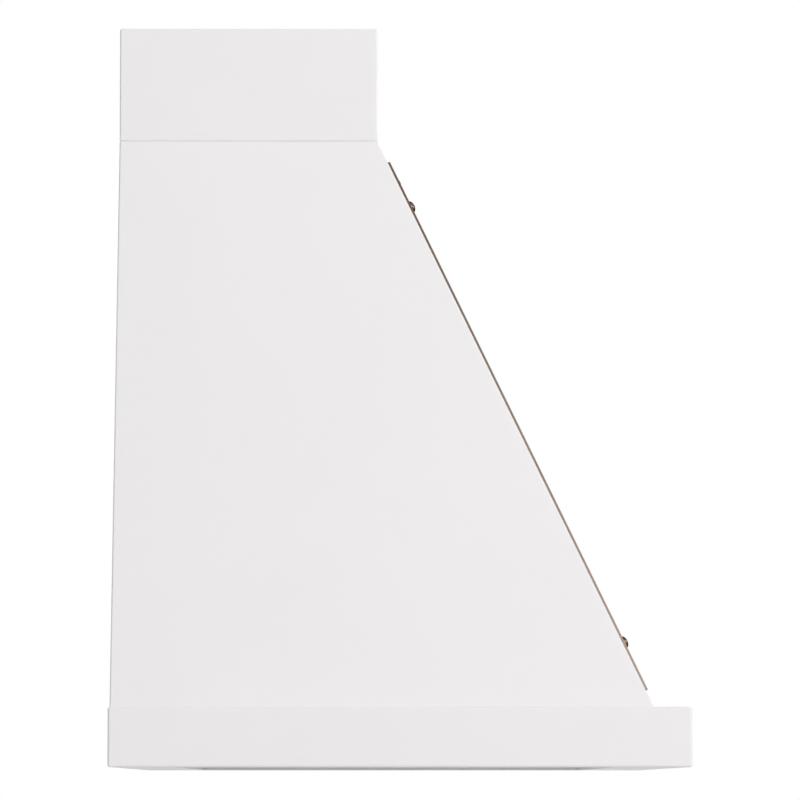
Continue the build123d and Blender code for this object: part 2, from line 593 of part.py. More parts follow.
# Rotary controls: switch on the panel, spindle through it, fluted knob below
KNOB_TOP = PANEL_HEIGHT - KNOB_GAP
KNOB_LOW = KNOB_TOP - KNOB_SKIRT - KNOB_GRIP
for name, side in {"fan": -1, "light": 1}.items():
    x = side * KNOB_SPACING / 2
    half = SWITCH_WIDTH / 2
    switch = block(x - half, x + half, PANEL_Y - half, PANEL_Y + half, PANEL_TOP, PANEL_TOP + SWITCH_HEIGHT)
    spindle_top = PANEL_TOP + SPINDLE_IN_SWITCH
    spindle_bore = SPINDLE_RADIUS + SPINDLE_CLEARANCE
    switch -= upright(x, PANEL_Y, PANEL_TOP, spindle_top + SPINDLE_CLEARANCE, spindle_bore)
    save(switch, f"{name}_switch")
    save(upright(x, PANEL_Y, KNOB_TOP - KNOB_SOCKET, spindle_top, SPINDLE_RADIUS), f"{name}_spindle")
    knob = upright(x, PANEL_Y, KNOB_TOP - KNOB_SKIRT, KNOB_TOP, KNOB_RADIUS)
    knob = fillet(knob.edges().sort_by(Axis.Z)[0], KNOB_SKIRT / 2)
    grip = upright(x, PANEL_Y, KNOB_LOW, KNOB_TOP - KNOB_SKIRT, KNOB_GRIP_RADIUS)
    grip = chamfer(grip.edges().sort_by(Axis.Z)[0], KNOB_FLUTE_RADIUS)
    flute = upright(KNOB_GRIP_RADIUS, 0, KNOB_LOW - KNOB_CUT, KNOB_TOP - KNOB_SKIRT, KNOB_FLUTE_RADIUS)
    grip -= [Pos(x, PANEL_Y, 0) * Rot(0, 0, 360 * i / KNOB_FLUTES) * flute for i in range(KNOB_FLUTES)]
    knob += grip
    knob -= upright(x, PANEL_Y, KNOB_TOP - KNOB_SOCKET, KNOB_TOP, spindle_bore)
    save(knob, f"{name}_knob")


# Blower scroll: radius shrinks evenly from the outlet wall round to the tongue
def scroll_face(extra, top):
    """Outline of the scroll and its outlet, moved outwards by the extra amount, in the YZ plane."""
    steps = int(TONGUE_ANGLE / SCROLL_STEP)
    points = [(BLOWER_Y + SCROLL_LARGE + extra, top)]
    for index in range(steps + 1):
        share = index / steps
        radius = SCROLL_LARGE + (SCROLL_SMALL - SCROLL_LARGE) * share + extra
        angle = radians(TONGUE_ANGLE * share)
        points.append((BLOWER_Y + radius * cos(angle), BLOWER_HEIGHT - radius * sin(angle)))
    points[-1] = (BLOWER_Y + TONGUE_Y - extra, points[-1][1])
    points.append((BLOWER_Y + TONGUE_Y - extra, top))
    return Plane.YZ * make_face(Polyline(*points, close=True))


wrap = extrude(scroll_face(SCROLL_SHEET, OUTLET_Z), amount=SCROLL_HALF_WIDTH, both=True)
wrap -= extrude(scroll_face(0, OUTLET_Z + REACH), amount=SCROLL_HALF_WIDTH + REACH, both=True)
save(wrap, "scroll_wrap")
for name, side in SIDES.items():
    face = side * SCROLL_HALF_WIDTH
    plate = Pos(face, 0, 0) * extrude(scroll_face(SCROLL_SHEET, OUTLET_Z), amount=side * SCROLL_SHEET)
    ring_end = face - side * INLET_LIP
    plate += lying(face, ring_end, BLOWER_Y, BLOWER_HEIGHT, INLET_RADIUS + SCROLL_SHEET)
    plate -= lying(ring_end, face + side * SCROLL_SHEET, BLOWER_Y, BLOWER_HEIGHT, INLET_RADIUS)
    save(plate, f"scroll_side_{name}")

# Outlet adapter, from the scroll's oblong mouth to the round duct collar
OUTLET_HALF = (SCROLL_LARGE - TONGUE_Y) / 2
ADAPTER_FOOT = OUTLET_Z + ADAPTER_SHEET
ADAPTER_HEAD = CANOPY_TOP - ADAPTER_SHEET


def adapter_form(extra):
    """Solid from an oblong at the scroll to a circle at the duct."""
    oblong = Rectangle(2 * (SCROLL_HALF_WIDTH + extra), 2 * (OUTLET_HALF + extra))
    foot = Pos(0, DUCT_Y, ADAPTER_FOOT) * oblong
    head = Pos(0, DUCT_Y, ADAPTER_HEAD) * Circle(DUCT_INSIDE + extra)
    return loft([foot, head])


adapter = adapter_form(ADAPTER_SHEET) - adapter_form(0)
rim_x = SCROLL_HALF_WIDTH + ADAPTER_FLANGE
rim_y = OUTLET_HALF + ADAPTER_FLANGE
foot_flange = block(-rim_x, rim_x, DUCT_Y - rim_y, DUCT_Y + rim_y, OUTLET_Z, ADAPTER_FOOT)
foot_flange -= block(
    -SCROLL_HALF_WIDTH, SCROLL_HALF_WIDTH, DUCT_Y - OUTLET_HALF, DUCT_Y + OUTLET_HALF, OUTLET_Z, ADAPTER_FOOT
)
square = DUCT_RADIUS + DUCT_FLANGE
head_flange = block(-square, square, DUCT_Y - square, DUCT_Y + square, ADAPTER_HEAD, CANOPY_TOP)
head_flange -= upright(0, DUCT_Y, ADAPTER_HEAD, CANOPY_TOP, DUCT_INSIDE)
save(adapter + foot_flange + head_flange, "outlet_adapter")

# Bracket from the back panel to the scroll's flat rear wall
scroll_rear = BLOWER_Y + SCROLL_LARGE + SCROLL_SHEET
bracket_low = BLOWER_HEIGHT + BRACKET_SHEET
bracket = block(
    -BRACKET_WIDTH / 2, BRACKET_WIDTH / 2, scroll_rear, BACK_FACE, bracket_low, bracket_low + BRACKET_HEIGHT
)
bracket -= block(
    BRACKET_SHEET - BRACKET_WIDTH / 2,
    BRACKET_WIDTH / 2 - BRACKET_SHEET,
    scroll_rear + BRACKET_SHEET,
    BACK_FACE - BRACKET_SHEET,
    0,
    HOOD_HEIGHT,
)
save(bracket, "blower_bracket")

# Fan wheel: middle disc on a hub, curved blades, two end rings
WHEEL_HALF = WHEEL_WIDTH / 2
wheel = lying(-WHEEL_SHEET / 2, WHEEL_SHEET / 2, BLOWER_Y, BLOWER_HEIGHT, WHEEL_RADIUS)
wheel += lying(-HUB_LENGTH, WHEEL_SHEET / 2, BLOWER_Y, BLOWER_HEIGHT, HUB_RADIUS)
wheel -= lying(-HUB_LENGTH, WHEEL_WIDTH, BLOWER_Y, BLOWER_HEIGHT, SHAFT_RADIUS + SHAFT_CLEARANCE)
for side in SIDES.values():
    ring = lying(side * (WHEEL_HALF - WHEEL_SHEET), side * WHEEL_HALF, BLOWER_Y, BLOWER_HEIGHT, WHEEL_RADIUS)
    ring -= lying(-WHEEL_WIDTH, WHEEL_WIDTH, BLOWER_Y, BLOWER_HEIGHT, WHEEL_EYE)
    wheel += ring
blade_middle = (WHEEL_RADIUS + WHEEL_EYE) / 2
blade = Circle(BLADE_CURVE) - Circle(BLADE_CURVE - BLADE_SHEET)
blade = Pos(blade_middle, 0) * (blade & Pos(0, -BLADE_CURVE) * Rectangle(2 * BLADE_CURVE, 2 * BLADE_CURVE))
blade &= Circle(WHEEL_RADIUS - WHEEL_SHEET / 2) - Circle(WHEEL_EYE + WHEEL_SHEET / 2)
blades = [Rot(0, 0, 360 * index / WHEEL_BLADES) * blade for index in range(WHEEL_BLADES)]
wheel_plane = Plane(origin=(-WHEEL_HALF, BLOWER_Y, BLOWER_HEIGHT), x_dir=(0, 1, 0), z_dir=(1, 0, 0))
for blade in blades:
    wheel += extrude(wheel_plane * blade, amount=WHEEL_WIDTH, dir=(1, 0, 0))
save(wheel, "fan_wheel")
save(lying(-HUB_LENGTH, SHAFT_IN_MOTOR, BLOWER_Y, BLOWER_HEIGHT, SHAFT_RADIUS), "motor_shaft")

# Motor in the right-hand inlet, on a three-armed spider that is fixed to the scroll side
SPIDER_FACE = SCROLL_HALF_WIDTH + SCROLL_SHEET
FLANGE_FACE = SPIDER_FACE + SPIDER_SHEET
motor = lying(MOTOR_GAP, FLANGE_FACE + MOTOR_TAIL, BLOWER_Y, BLOWER_HEIGHT, MOTOR_RADIUS)
motor = fillet(motor.edges().filter_by(GeomType.CIRCLE), MOTOR_EDGE)
motor += lying(FLANGE_FACE, FLANGE_FACE + MOTOR_FLANGE, BLOWER_Y, BLOWER_HEIGHT, MOTOR_FLANGE_RADIUS)
motor -= lying(0, SHAFT_IN_MOTOR + SHAFT_CLEARANCE, BLOWER_Y, BLOWER_HEIGHT, SHAFT_RADIUS + SHAFT_CLEARANCE)
save(motor, "motor")
spider = lying(SPIDER_FACE, FLANGE_FACE, BLOWER_Y, BLOWER_HEIGHT, MOTOR_FLANGE_RADIUS)
arm = block(SPIDER_FACE, FLANGE_FACE, -SPIDER_ARM / 2, SPIDER_ARM / 2, 0, SPIDER_REACH)
spider += [Pos(0, BLOWER_Y, BLOWER_HEIGHT) * Rot(angle, 0, 0) * arm for angle in SPIDER_ANGLES]
spider -= lying(SPIDER_FACE, FLANGE_FACE, BLOWER_Y, BLOWER_HEIGHT, MOTOR_RADIUS + SPIDER_CLEARANCE)
save(spider, "motor_spider")

# Run capacitor on the left-hand scroll side, in front of the inlet
capacitor_y = BLOWER_Y - INLET_RADIUS - SCROLL_SHEET - CAPACITOR_RIM - CAPACITOR_RADIUS
capacitor = lying(-SPIDER_FACE, -SPIDER_FACE - CAPACITOR_LENGTH, capacitor_y, BLOWER_HEIGHT, CAPACITOR_RADIUS)
save(fillet(capacitor.edges().filter_by(GeomType.CIRCLE).sort_by(Axis.X)[0], CAPACITOR_RIM), "run_capacitor")

# Duct collar: a flange on the top plate round its hole, and on it a tube for the duct to slide over
DUCT_FOOT = COLLAR_FOOT + DUCT_SHEET
flange = upright(0, DUCT_Y, COLLAR_FOOT, DUCT_FOOT, DUCT_RADIUS + DUCT_FLANGE)
save(flange - upright(0, DUCT_Y, COLLAR_FOOT, DUCT_FOOT, DUCT_INSIDE), "duct_flange")
duct = upright(0, DUCT_Y, DUCT_FOOT, DUCT_TOP, DUCT_RADIUS)
duct -= upright(0, DUCT_Y, DUCT_FOOT, DUCT_TOP, DUCT_INSIDE)
stop_top = DAMPER_HEIGHT - FLAP_THICKNESS / 2 - FLAP_STOP_GAP
stop_low = stop_top - FLAP_STOP_HEIGHT
stop_half = FLAP_STOP_WIDTH / 2
stops = block(-stop_half, stop_half, DUCT_Y - DUCT_RADIUS, DUCT_Y + DUCT_RADIUS, stop_low, stop_top)
stops &= upright(0, DUCT_Y, CANOPY_TOP, DUCT_TOP, DUCT_INSIDE + DUCT_SHEET / 2)
duct += stops - upright(0, DUCT_Y, CANOPY_TOP, DUCT_TOP, DUCT_INSIDE - FLAP_STOP_REACH)
duct -= lying(-DUCT_RADIUS, DUCT_RADIUS, DUCT_Y, DAMPER_HEIGHT, DAMPER_ROD + DAMPER_CLEARANCE)
save(duct, "duct_collar")
rod_half = DUCT_RADIUS - DUCT_SHEET / 4
save(lying(-rod_half, rod_half, DUCT_Y, DAMPER_HEIGHT, DAMPER_ROD), "damper_rod")


# Damper: two half-round flaps on the rod, with interleaved knuckles
def flap(side, spans):
    """Half disc on one side of the rod, with knuckles over the given stretches of the rod."""
    low = DAMPER_HEIGHT - FLAP_THICKNESS / 2
    high = DAMPER_HEIGHT + FLAP_THICKNESS / 2
    disc = upright(0, DUCT_Y, low, high, DUCT_INSIDE - FLAP_GAP)
    near = DUCT_Y + side * (KNUCKLE_RADIUS + KNUCKLE_GAP)
    plate = disc & block(-DUCT_RADIUS, DUCT_RADIUS, near, DUCT_Y + side * DUCT_RADIUS, low, high)
    for x0, x1 in spans:
        plate += block(x0, x1, DUCT_Y, near, low, high)
        plate += lying(x0, x1, DUCT_Y, DAMPER_HEIGHT, KNUCKLE_RADIUS)
    return plate - lying(-DUCT_RADIUS, DUCT_RADIUS, DUCT_Y, DAMPER_HEIGHT, DAMPER_ROD + DAMPER_CLEARANCE)


knuckle_start = KNUCKLE_INNER + KNUCKLE_GAP
outer_knuckles = [(-KNUCKLE_OUTER, -knuckle_start), (knuckle_start, KNUCKLE_OUTER)]
save(flap(-1, outer_knuckles), "damper_flap_front")
save(flap(1, [(-KNUCKLE_INNER, KNUCKLE_INNER)]), "damper_flap_rear")

# Junction box under the cable hole, with its cover
box_low = CANOPY_TOP - BOX_HEIGHT
x0, x1 = CABLE_X - BOX_WIDTH / 2, CABLE_X + BOX_WIDTH / 2
y0, y1 = DUCT_Y - BOX_DEPTH / 2, DUCT_Y + BOX_DEPTH / 2
box = block(x0, x1, y0, y1, box_low, CANOPY_TOP)
box -= block(
    x0 + BOX_SHEET, x1 - BOX_SHEET, y0 + BOX_SHEET, y1 - BOX_SHEET, box_low, CANOPY_TOP - BOX_SHEET
)
save(box - cable_hole, "junction_box")
save(block(x0, x1, y0, y1, box_low - BOX_SHEET, box_low), "junction_cover")
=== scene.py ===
# %% [markdown]
# A wall-hung range hood, dressed for a product picture. The hood's solids come from the packed
# model and are never moved here. This lesson gives each surface its finish, rebuilds the few pieces
# whose small forms catch the eye, and sets up the stage. Everything is in metres, in the model's
# own frame: the origin is the middle of the lower back edge, -Y points out of the wall, +Z is up.

# %% Load the frame
import json
import math

import bpy
import numpy as np
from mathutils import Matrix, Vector


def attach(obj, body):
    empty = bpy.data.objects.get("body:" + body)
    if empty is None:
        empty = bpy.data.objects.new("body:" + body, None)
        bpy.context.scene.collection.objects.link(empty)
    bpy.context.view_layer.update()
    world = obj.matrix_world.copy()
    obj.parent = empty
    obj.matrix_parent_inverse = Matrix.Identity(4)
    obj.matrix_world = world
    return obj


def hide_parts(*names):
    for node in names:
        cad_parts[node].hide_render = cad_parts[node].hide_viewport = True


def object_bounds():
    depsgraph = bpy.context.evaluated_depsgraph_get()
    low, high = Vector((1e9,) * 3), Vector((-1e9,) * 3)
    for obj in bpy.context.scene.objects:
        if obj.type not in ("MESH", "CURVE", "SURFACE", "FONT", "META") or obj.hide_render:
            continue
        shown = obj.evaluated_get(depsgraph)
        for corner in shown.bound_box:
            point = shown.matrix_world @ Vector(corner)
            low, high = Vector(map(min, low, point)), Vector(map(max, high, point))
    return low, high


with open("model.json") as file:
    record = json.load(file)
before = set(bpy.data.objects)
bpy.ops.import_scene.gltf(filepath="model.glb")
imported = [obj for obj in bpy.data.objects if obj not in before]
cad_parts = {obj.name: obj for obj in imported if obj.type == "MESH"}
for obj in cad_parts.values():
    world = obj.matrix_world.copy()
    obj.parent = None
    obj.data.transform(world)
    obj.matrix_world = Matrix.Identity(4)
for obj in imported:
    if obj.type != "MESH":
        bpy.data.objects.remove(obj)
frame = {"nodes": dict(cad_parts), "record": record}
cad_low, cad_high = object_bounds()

MM = 0.001
print("nodes", len(frame["nodes"]), "box", tuple(cad_low), tuple(cad_high))

# %% [markdown]
# The camera. The photograph looks square at the hood's left end, from about five metres away and
# from just under the lower edge, so that a sliver of the underside shows. A long lens keeps the far
# end of the hood almost as large as the near one. Tilting the camera a little upwards, rather than
# shifting the lens, makes the back edge lean as it does in the photograph.

# %% Camera
CAMERA_DISTANCE = 4.95
CAMERA_Y = -0.25499
CAMERA_Z = -0.0203
CAMERA_PITCH = 0.0774
CAMERA_YAW = -0.00685
CAMERA_LENS = 225.0
CAMERA_SENSOR = 36.0
CAMERA_REACH = 100.0

camera_data = bpy.data.cameras.new("side_view")
camera_data.lens = CAMERA_LENS
camera_data.sensor_width = CAMERA_SENSOR
camera_data.clip_end = CAMERA_REACH
camera = bpy.data.objects.new("side_view", camera_data)
camera.location = (cad_low.x - CAMERA_DISTANCE, CAMERA_Y, CAMERA_Z)
aim = Vector((math.cos(CAMERA_PITCH) * math.cos(CAMERA_YAW),
              math.cos(CAMERA_PITCH) * math.sin(CAMERA_YAW),
              math.sin(CAMERA_PITCH)))
camera.rotation_mode = "QUATERNION"
camera.rotation_quaternion = aim.to_track_quat("-Z", "Y")
bpy.context.scene.collection.objects.link(camera)
bpy.context.scene.camera = camera
print("camera at", tuple(round(v, 3) for v in camera.location))

# %% [markdown]
# Small helpers for materials. Colours are written as the sRGB hex values that a picture shows, and
# one function turns them into the linear values that the shaders add up. The second adds a single
# shader node: plain settings are its properties, and each input is either a value or a link from
# another node. The third starts a material with its output and its coordinates.

# %% Material helpers
def linear(hex_colour):
    """sRGB hex text to linear RGBA: c/12.92 in the darks, ((c + 0.055)/1.055)^2.4 above."""
    c = np.array([int(hex_colour[i:i + 2], 16) for i in (1, 3, 5)]) / 255.0
    c = np.where(c <= 0.04045, c / 12.92, ((c + 0.055) / 1.055) ** 2.4)
    return (*c.tolist(), 1.0)


def add(tree, kind, inputs=None, **settings):
    """Add one node with its settings, and give its inputs values or links from other sockets."""
    node = tree.nodes.new(kind)
    for name, value in settings.items():
        setattr(node, name, value)
    for name, value in (inputs or {}).items():
        if isinstance(value, bpy.types.NodeSocket):
            tree.links.new(value, node.inputs[name])
        else:
            node.inputs[name].default_value = value
    return node


def new_material(name):
    """An empty material with its output, and the Object coordinates that its patterns read."""
    material = bpy.data.materials.new(name)
    material.use_nodes = True
    tree = material.node_tree
    tree.nodes.clear()
    output = add(tree, "ShaderNodeOutputMaterial")
    place = add(tree, "ShaderNodeTexCoord").outputs["Object"]
    return material, tree, output, place


print("sRGB #808080 is", round(linear("#808080")[0], 3), "in linear light")

# %% [markdown]
# The surroundings. To the camera and in reflections they are plain white. The light that they give
# comes mostly from the left, the right and above, and little from the front and from the wall. A
# surface that turns away towards the front or the wall then gets darker, and that draws the edges
# of a white object on a white ground. A Light Path node tells the two uses apart, because it knows
# what kind of ray has arrived.

# %% White surroundings
AMBIENT_LEFT_RIGHT = 0.61
AMBIENT_FRONT_BACK = 0.06
PURE_WHITE = "#FFFFFF"


def seen_directly(tree):
    """1 for camera, glossy and transmission rays, 0 for rays that carry light between surfaces."""
    path = add(tree, "ShaderNodeLightPath").outputs
    either = add(tree, "ShaderNodeMath", {0: path["Is Camera Ray"], 1: path["Is Glossy Ray"]},
                 operation="MAXIMUM")
    return add(tree, "ShaderNodeMath", {0: either.outputs[0], 1: path["Is Transmission Ray"]},
               operation="MAXIMUM").outputs[0]


world = bpy.data.worlds.new("white_studio")
bpy.context.scene.world = world
world.use_nodes = True
sky = world.node_tree
sky.nodes.clear()
direction = add(sky, "ShaderNodeTexCoord").outputs["Generated"]
depth = add(sky, "ShaderNodeSeparateXYZ", {0: direction}).outputs["Y"]
front_back = add(sky, "ShaderNodeMath", {0: depth}, operation="ABSOLUTE")
level = add(sky, "ShaderNodeMapRange", {
    "Value": front_back.outputs[0], "To Min": AMBIENT_LEFT_RIGHT, "To Max": AMBIENT_FRONT_BACK})
light = add(sky, "ShaderNodeBackground", {
    "Color": linear(PURE_WHITE), "Strength": level.outputs[0]})
white = add(sky, "ShaderNodeBackground", {"Color": linear(PURE_WHITE), "Strength": 1.0})
both = add(sky, "ShaderNodeMixShader", {
    0: seen_directly(sky), 1: light.outputs[0], 2: white.outputs[0]})
add(sky, "ShaderNodeOutputWorld", {"Surface": both.outputs[0]})
print("light from the sides", AMBIENT_LEFT_RIGHT, "from front and wall", AMBIENT_FRONT_BACK)

# %% [markdown]
# The floor. A hood hangs about 30 inches above the cooktop, so a pale floor lies that far below it
# and catches a soft shadow. Further out the floor turns into the plain white of the surroundings
# for the camera and for reflections, and keeps its real shading near the hood.

# %% Floor
FLOOR_DROP = 0.762
FLOOR_SIZE = 16.0
FLOOR_GREY = "#ECECEC"
SHADOW_NEAR = 1.2
SHADOW_FAR = 3.6
FLOOR_GLOW = 0.35

floor_material, tree, output, place = new_material("pale_studio_floor")
distance = add(tree, "ShaderNodeVectorMath", {0: place}, operation="LENGTH").outputs["Value"]
far = add(tree, "ShaderNodeMapRange", {
    "Value": distance, "From Min": SHADOW_NEAR, "From Max": SHADOW_FAR, "To Min": FLOOR_GLOW},
    interpolation_type="SMOOTHSTEP")
fade = add(tree, "ShaderNodeMath", {
    0: far.outputs[0], 1: seen_directly(tree)}, operation="MULTIPLY")
matt = add(tree, "ShaderNodeBsdfDiffuse", {"Color": linear(FLOOR_GREY)})
plain = add(tree, "ShaderNodeEmission", {"Color": linear(PURE_WHITE), "Strength": 1.0})
mixed = add(tree, "ShaderNodeMixShader", {
    0: fade.outputs[0], 1: matt.outputs[0], 2: plain.outputs[0]})
tree.links.new(mixed.outputs[0], output.inputs["Surface"])

floor_mesh = bpy.data.meshes.new("studio_floor")
floor_corners = np.array([(-1, -1, 0), (1, -1, 0), (1, 1, 0), (-1, 1, 0)]) * FLOOR_SIZE
floor_mesh.from_pydata((floor_corners + (0, 0, -FLOOR_DROP)).tolist(), [], [(0, 1, 2, 3)])
floor_mesh.materials.append(floor_material)
floor = bpy.data.objects.new("studio_floor", floor_mesh)
bpy.context.scene.collection.objects.link(floor)
print("floor", FLOOR_DROP, "m below the hood")

# %% [markdown]
# Soft studio light. A large panel far out to the front left is the key: it lights the hood's left
# end evenly, and the bend between side and front, which faces it squarely, becomes the brightest
# line of the hood, as in the photograph. A small panel in front is there for its reflection in the
# domes of the rivets. One more hangs above, for the ledge, and one high on the right towards the
# wall, for the back. Nothing lights the underside but the floor, so the lip stays grey. The camera
# sees none of the panels, and the level is such that a white comes out about as it is written.

# %% Lamps
LAMP_TARGET = Vector((0.0, -0.25, 0.35))
# Each panel's place and width are in metres, and its power is in watts.
LAMPS = {
    "key_panel": ((-6.4, -4.25, 2.99), 3.0, 329.0),
    "overhead_panel": ((-0.5, -0.5, 3.6), 2.0, 12.0),
    "front_panel": ((1.5, -3.8, 1.9), 0.8, 18.0),
    "right_panel": ((4.4, 2.0, 3.0), 2.0, 122.0),
}
for name, (position, size, power) in LAMPS.items():
    lamp_data = bpy.data.lights.new(name, "AREA")
    lamp_data.size = size
    lamp_data.energy = power
    lamp = bpy.data.objects.new(name, lamp_data)
    lamp.location = position
    lamp.rotation_euler = (LAMP_TARGET - lamp.location).to_track_quat("-Z", "Y").to_euler()
    lamp.visible_camera = False
    bpy.context.scene.collection.objects.link(lamp)
bpy.context.scene.view_settings.view_transform = "Standard"
print("lamps", len(LAMPS))

# %% [markdown]
# Satin white powder coat. The sheet metal is sprayed with dry powder and baked, so the surface is
# even, slightly soft in its gloss, and has the faint dimpling called orange peel, a couple of
# millimetres across. Three noises do it: one for the dimples, a finer one for the grain of the
# powder, and a wide one for the tiny drift in tone and gloss that a large sprayed panel always has.
# Real powder grains are under a tenth of a millimetre and would not show, so they are drawn 1.1 mm
# wide. Pattern sizes are written in millimetres, and a function turns them into a texture's scale.
# A Mix node has sockets of the same name for numbers, vectors and colours, so those for colours are
# picked by their place, and the places get names.

# %% Powder coat
PEEL_MM = 2.2
GRAIN_MM = 1.1
DRIFT_MM = 210.0
MIX_FACTOR, MIX_A, MIX_B, MIX_RESULT = 0, 6, 7, 2


def per_metre(size_mm):
    """Texture scale for a pattern of that size: how many fit in one metre."""
    return 1.0 / (size_mm * MM)


def satin_white_powder_coat():
    """Baked powder: the eye sees an even white with a soft sheen and barely visible dimples."""
    material, tree, output, place = new_material("satin_white_powder_coat")
    drift = add(tree, "ShaderNodeTexNoise", {
        "Vector": place, "Scale": per_metre(DRIFT_MM), "Detail": 2.0})
    grain = add(tree, "ShaderNodeTexNoise", {
        "Vector": place, "Scale": per_metre(GRAIN_MM), "Detail": 1.0})
    peel = add(tree, "ShaderNodeTexNoise", {
        "Vector": place, "Scale": per_metre(PEEL_MM), "Detail": 1.0})
    tone = add(tree, "ShaderNodeMix", {
        MIX_FACTOR: drift.outputs[0], MIX_A: linear("#EDEBEC"), MIX_B: linear("#F1EFF0")},
        data_type="RGBA")
    speck = add(tree, "ShaderNodeMapRange", {
        "Value": grain.outputs[0], "To Min": 0.985, "To Max": 1.012})
    colour = add(tree, "ShaderNodeVectorMath", {
        0: tone.outputs[MIX_RESULT], 1: speck.outputs[0]}, operation="MULTIPLY")
    gloss = add(tree, "ShaderNodeMapRange", {
        "Value": drift.outputs[0], "To Min": 0.54, "To Max": 0.62})
    bump = add(tree, "ShaderNodeBump", {
        "Height": peel.outputs[0], "Strength": 0.10, "Distance": 0.05 * MM})
    shader = add(tree, "ShaderNodeBsdfPrincipled", {
        "Base Color": colour.outputs[0], "Roughness": gloss.outputs[0], "Normal": bump.outputs[0],
        "IOR": 1.4})
    tree.links.new(shader.outputs[0], output.inputs["Surface"])
    return material


POWDER_COAT = satin_white_powder_coat()
print("made", POWDER_COAT.name)

# %% [markdown]
# Oil-rubbed bronze. The straps and their rivets are bronze that was darkened with a chemical
# patina, oiled and rubbed back, so the flat faces stay nearly black-brown and the edges, where
# hands and cloths reach, show the warm metal again. How far an edge is rubbed is stored on the
# pieces as an attribute, and on the rivets the same attribute carries a painted highlight. The
# rubbed tone turns paler towards the floor, between two heights in metres: partly wear, as the
# lower ends are wiped most, and partly a painted reflection of the bright surroundings. The oil
# film keeps the metal from mirroring white at a flat angle, which a brown specular tint does here.
# The rivets' domes were closed with a hammer and a polished die, so theirs is a glossier kind of the
# same finish, and its paler rubbed tone paints their highlight.

# %% Oil-rubbed bronze
PATINA_MM = 9.0
HAMMER_MM = 14.0
WEAR_AND_SHEEN_TOP = 0.60
WEAR_AND_SHEEN_FOOT = 0.08


def oil_rubbed_bronze(name, smooth, dull, wear_and_sheen_high, wear_and_sheen_low):
    """Darkened and rubbed bronze: the eye sees mottled black-brown with warm edges, satin or
    burnished by its roughness between smooth and dull, with one rubbed tone high up and one low,
    which also paint a reflection on the straps and a highlight on the rivets."""
    material, tree, output, place = new_material(name)
    mottle = add(tree, "ShaderNodeTexNoise", {
        "Vector": place, "Scale": per_metre(PATINA_MM), "Detail": 4.0})
    hammer = add(tree, "ShaderNodeTexNoise", {
        "Vector": place, "Scale": per_metre(HAMMER_MM), "Detail": 1.0})
    # The attribute holds the rubbed edges and, on the rivets, a painted highlight.
    wear_and_highlight = add(tree, "ShaderNodeAttribute", attribute_name="wear_and_highlight").outputs["Fac"]
    # Paler low down: partly wear from wiping, partly a painted reflection.
    height = add(tree, "ShaderNodeSeparateXYZ", {0: place}).outputs["Z"]
    paler_low_wear_and_sheen = add(tree, "ShaderNodeMapRange", {
        "Value": height, "From Min": WEAR_AND_SHEEN_TOP, "From Max": WEAR_AND_SHEEN_FOOT})
    worn_tone_and_sheen = add(tree, "ShaderNodeMix", {
        MIX_FACTOR: paler_low_wear_and_sheen.outputs[0], MIX_A: linear(wear_and_sheen_high), MIX_B: linear(wear_and_sheen_low)},
        data_type="RGBA")
    patina = add(tree, "ShaderNodeMix", {
        MIX_FACTOR: mottle.outputs[0], MIX_A: linear("#261B15"), MIX_B: linear("#46362C")},
        data_type="RGBA")
    rub = add(tree, "ShaderNodeMapRange", {
        "Value": mottle.outputs[0], "To Min": 0.75, "To Max": 1.2})
    amount = add(tree, "ShaderNodeMath", {
        0: wear_and_highlight, 1: rub.outputs[0]}, operation="MULTIPLY", use_clamp=True)
    colour = add(tree, "ShaderNodeMix", {
        MIX_FACTOR: amount.outputs[0], MIX_A: patina.outputs[MIX_RESULT],
        MIX_B: worn_tone_and_sheen.outputs[MIX_RESULT]},
        data_type="RGBA")
    gloss = add(tree, "ShaderNodeMapRange", {
        "Value": mottle.outputs[0], "To Min": smooth, "To Max": dull})
    bump = add(tree, "ShaderNodeBump", {
        "Height": hammer.outputs[0], "Strength": 0.35, "Distance": 0.25 * MM})
    shader = add(tree, "ShaderNodeBsdfPrincipled", {
        "Base Color": colour.outputs[MIX_RESULT], "Metallic": 1.0, "Roughness": gloss.outputs[0],
        "Normal": bump.outputs[0], "Specular Tint": linear("#5A4C42")})
    tree.links.new(shader.outputs[0], output.inputs["Surface"])
    return material


BRONZE = oil_rubbed_bronze(
    "oil_rubbed_bronze", smooth=0.46, dull=0.60, wear_and_sheen_high="#6A574C", wear_and_sheen_low="#98897C")
# The rivets' paler rubbed tone paints a highlight on their domes.
PAINTED_HIGHLIGHT_BRONZE = oil_rubbed_bronze(
    "burnished_bronze_painted_highlight", smooth=0.14, dull=0.22, wear_and_sheen_high="#98897C", wear_and_sheen_low="#98897C")
print("made", BRONZE.name, PAINTED_HIGHLIGHT_BRONZE.name)

# %% [markdown]
# Brushed stainless steel. The liner, the control panel and the filters are stainless sheet, ground
# with a belt along its length, which leaves fine parallel scratches. A noise squeezed across X and
# drawn out along it gives such streaks, sixty times as long as they are wide. Real scratches are a
# few hundredths of a millimetre wide, too fine to show here, so they are drawn about 0.6 mm wide,
# and they change tone and gloss a little as well as the bump.

# %% Brushed stainless steel
SCRATCH_MM = 0.6
SCRATCH_LENGTH = 60.0
SMEAR_MM = 90.0


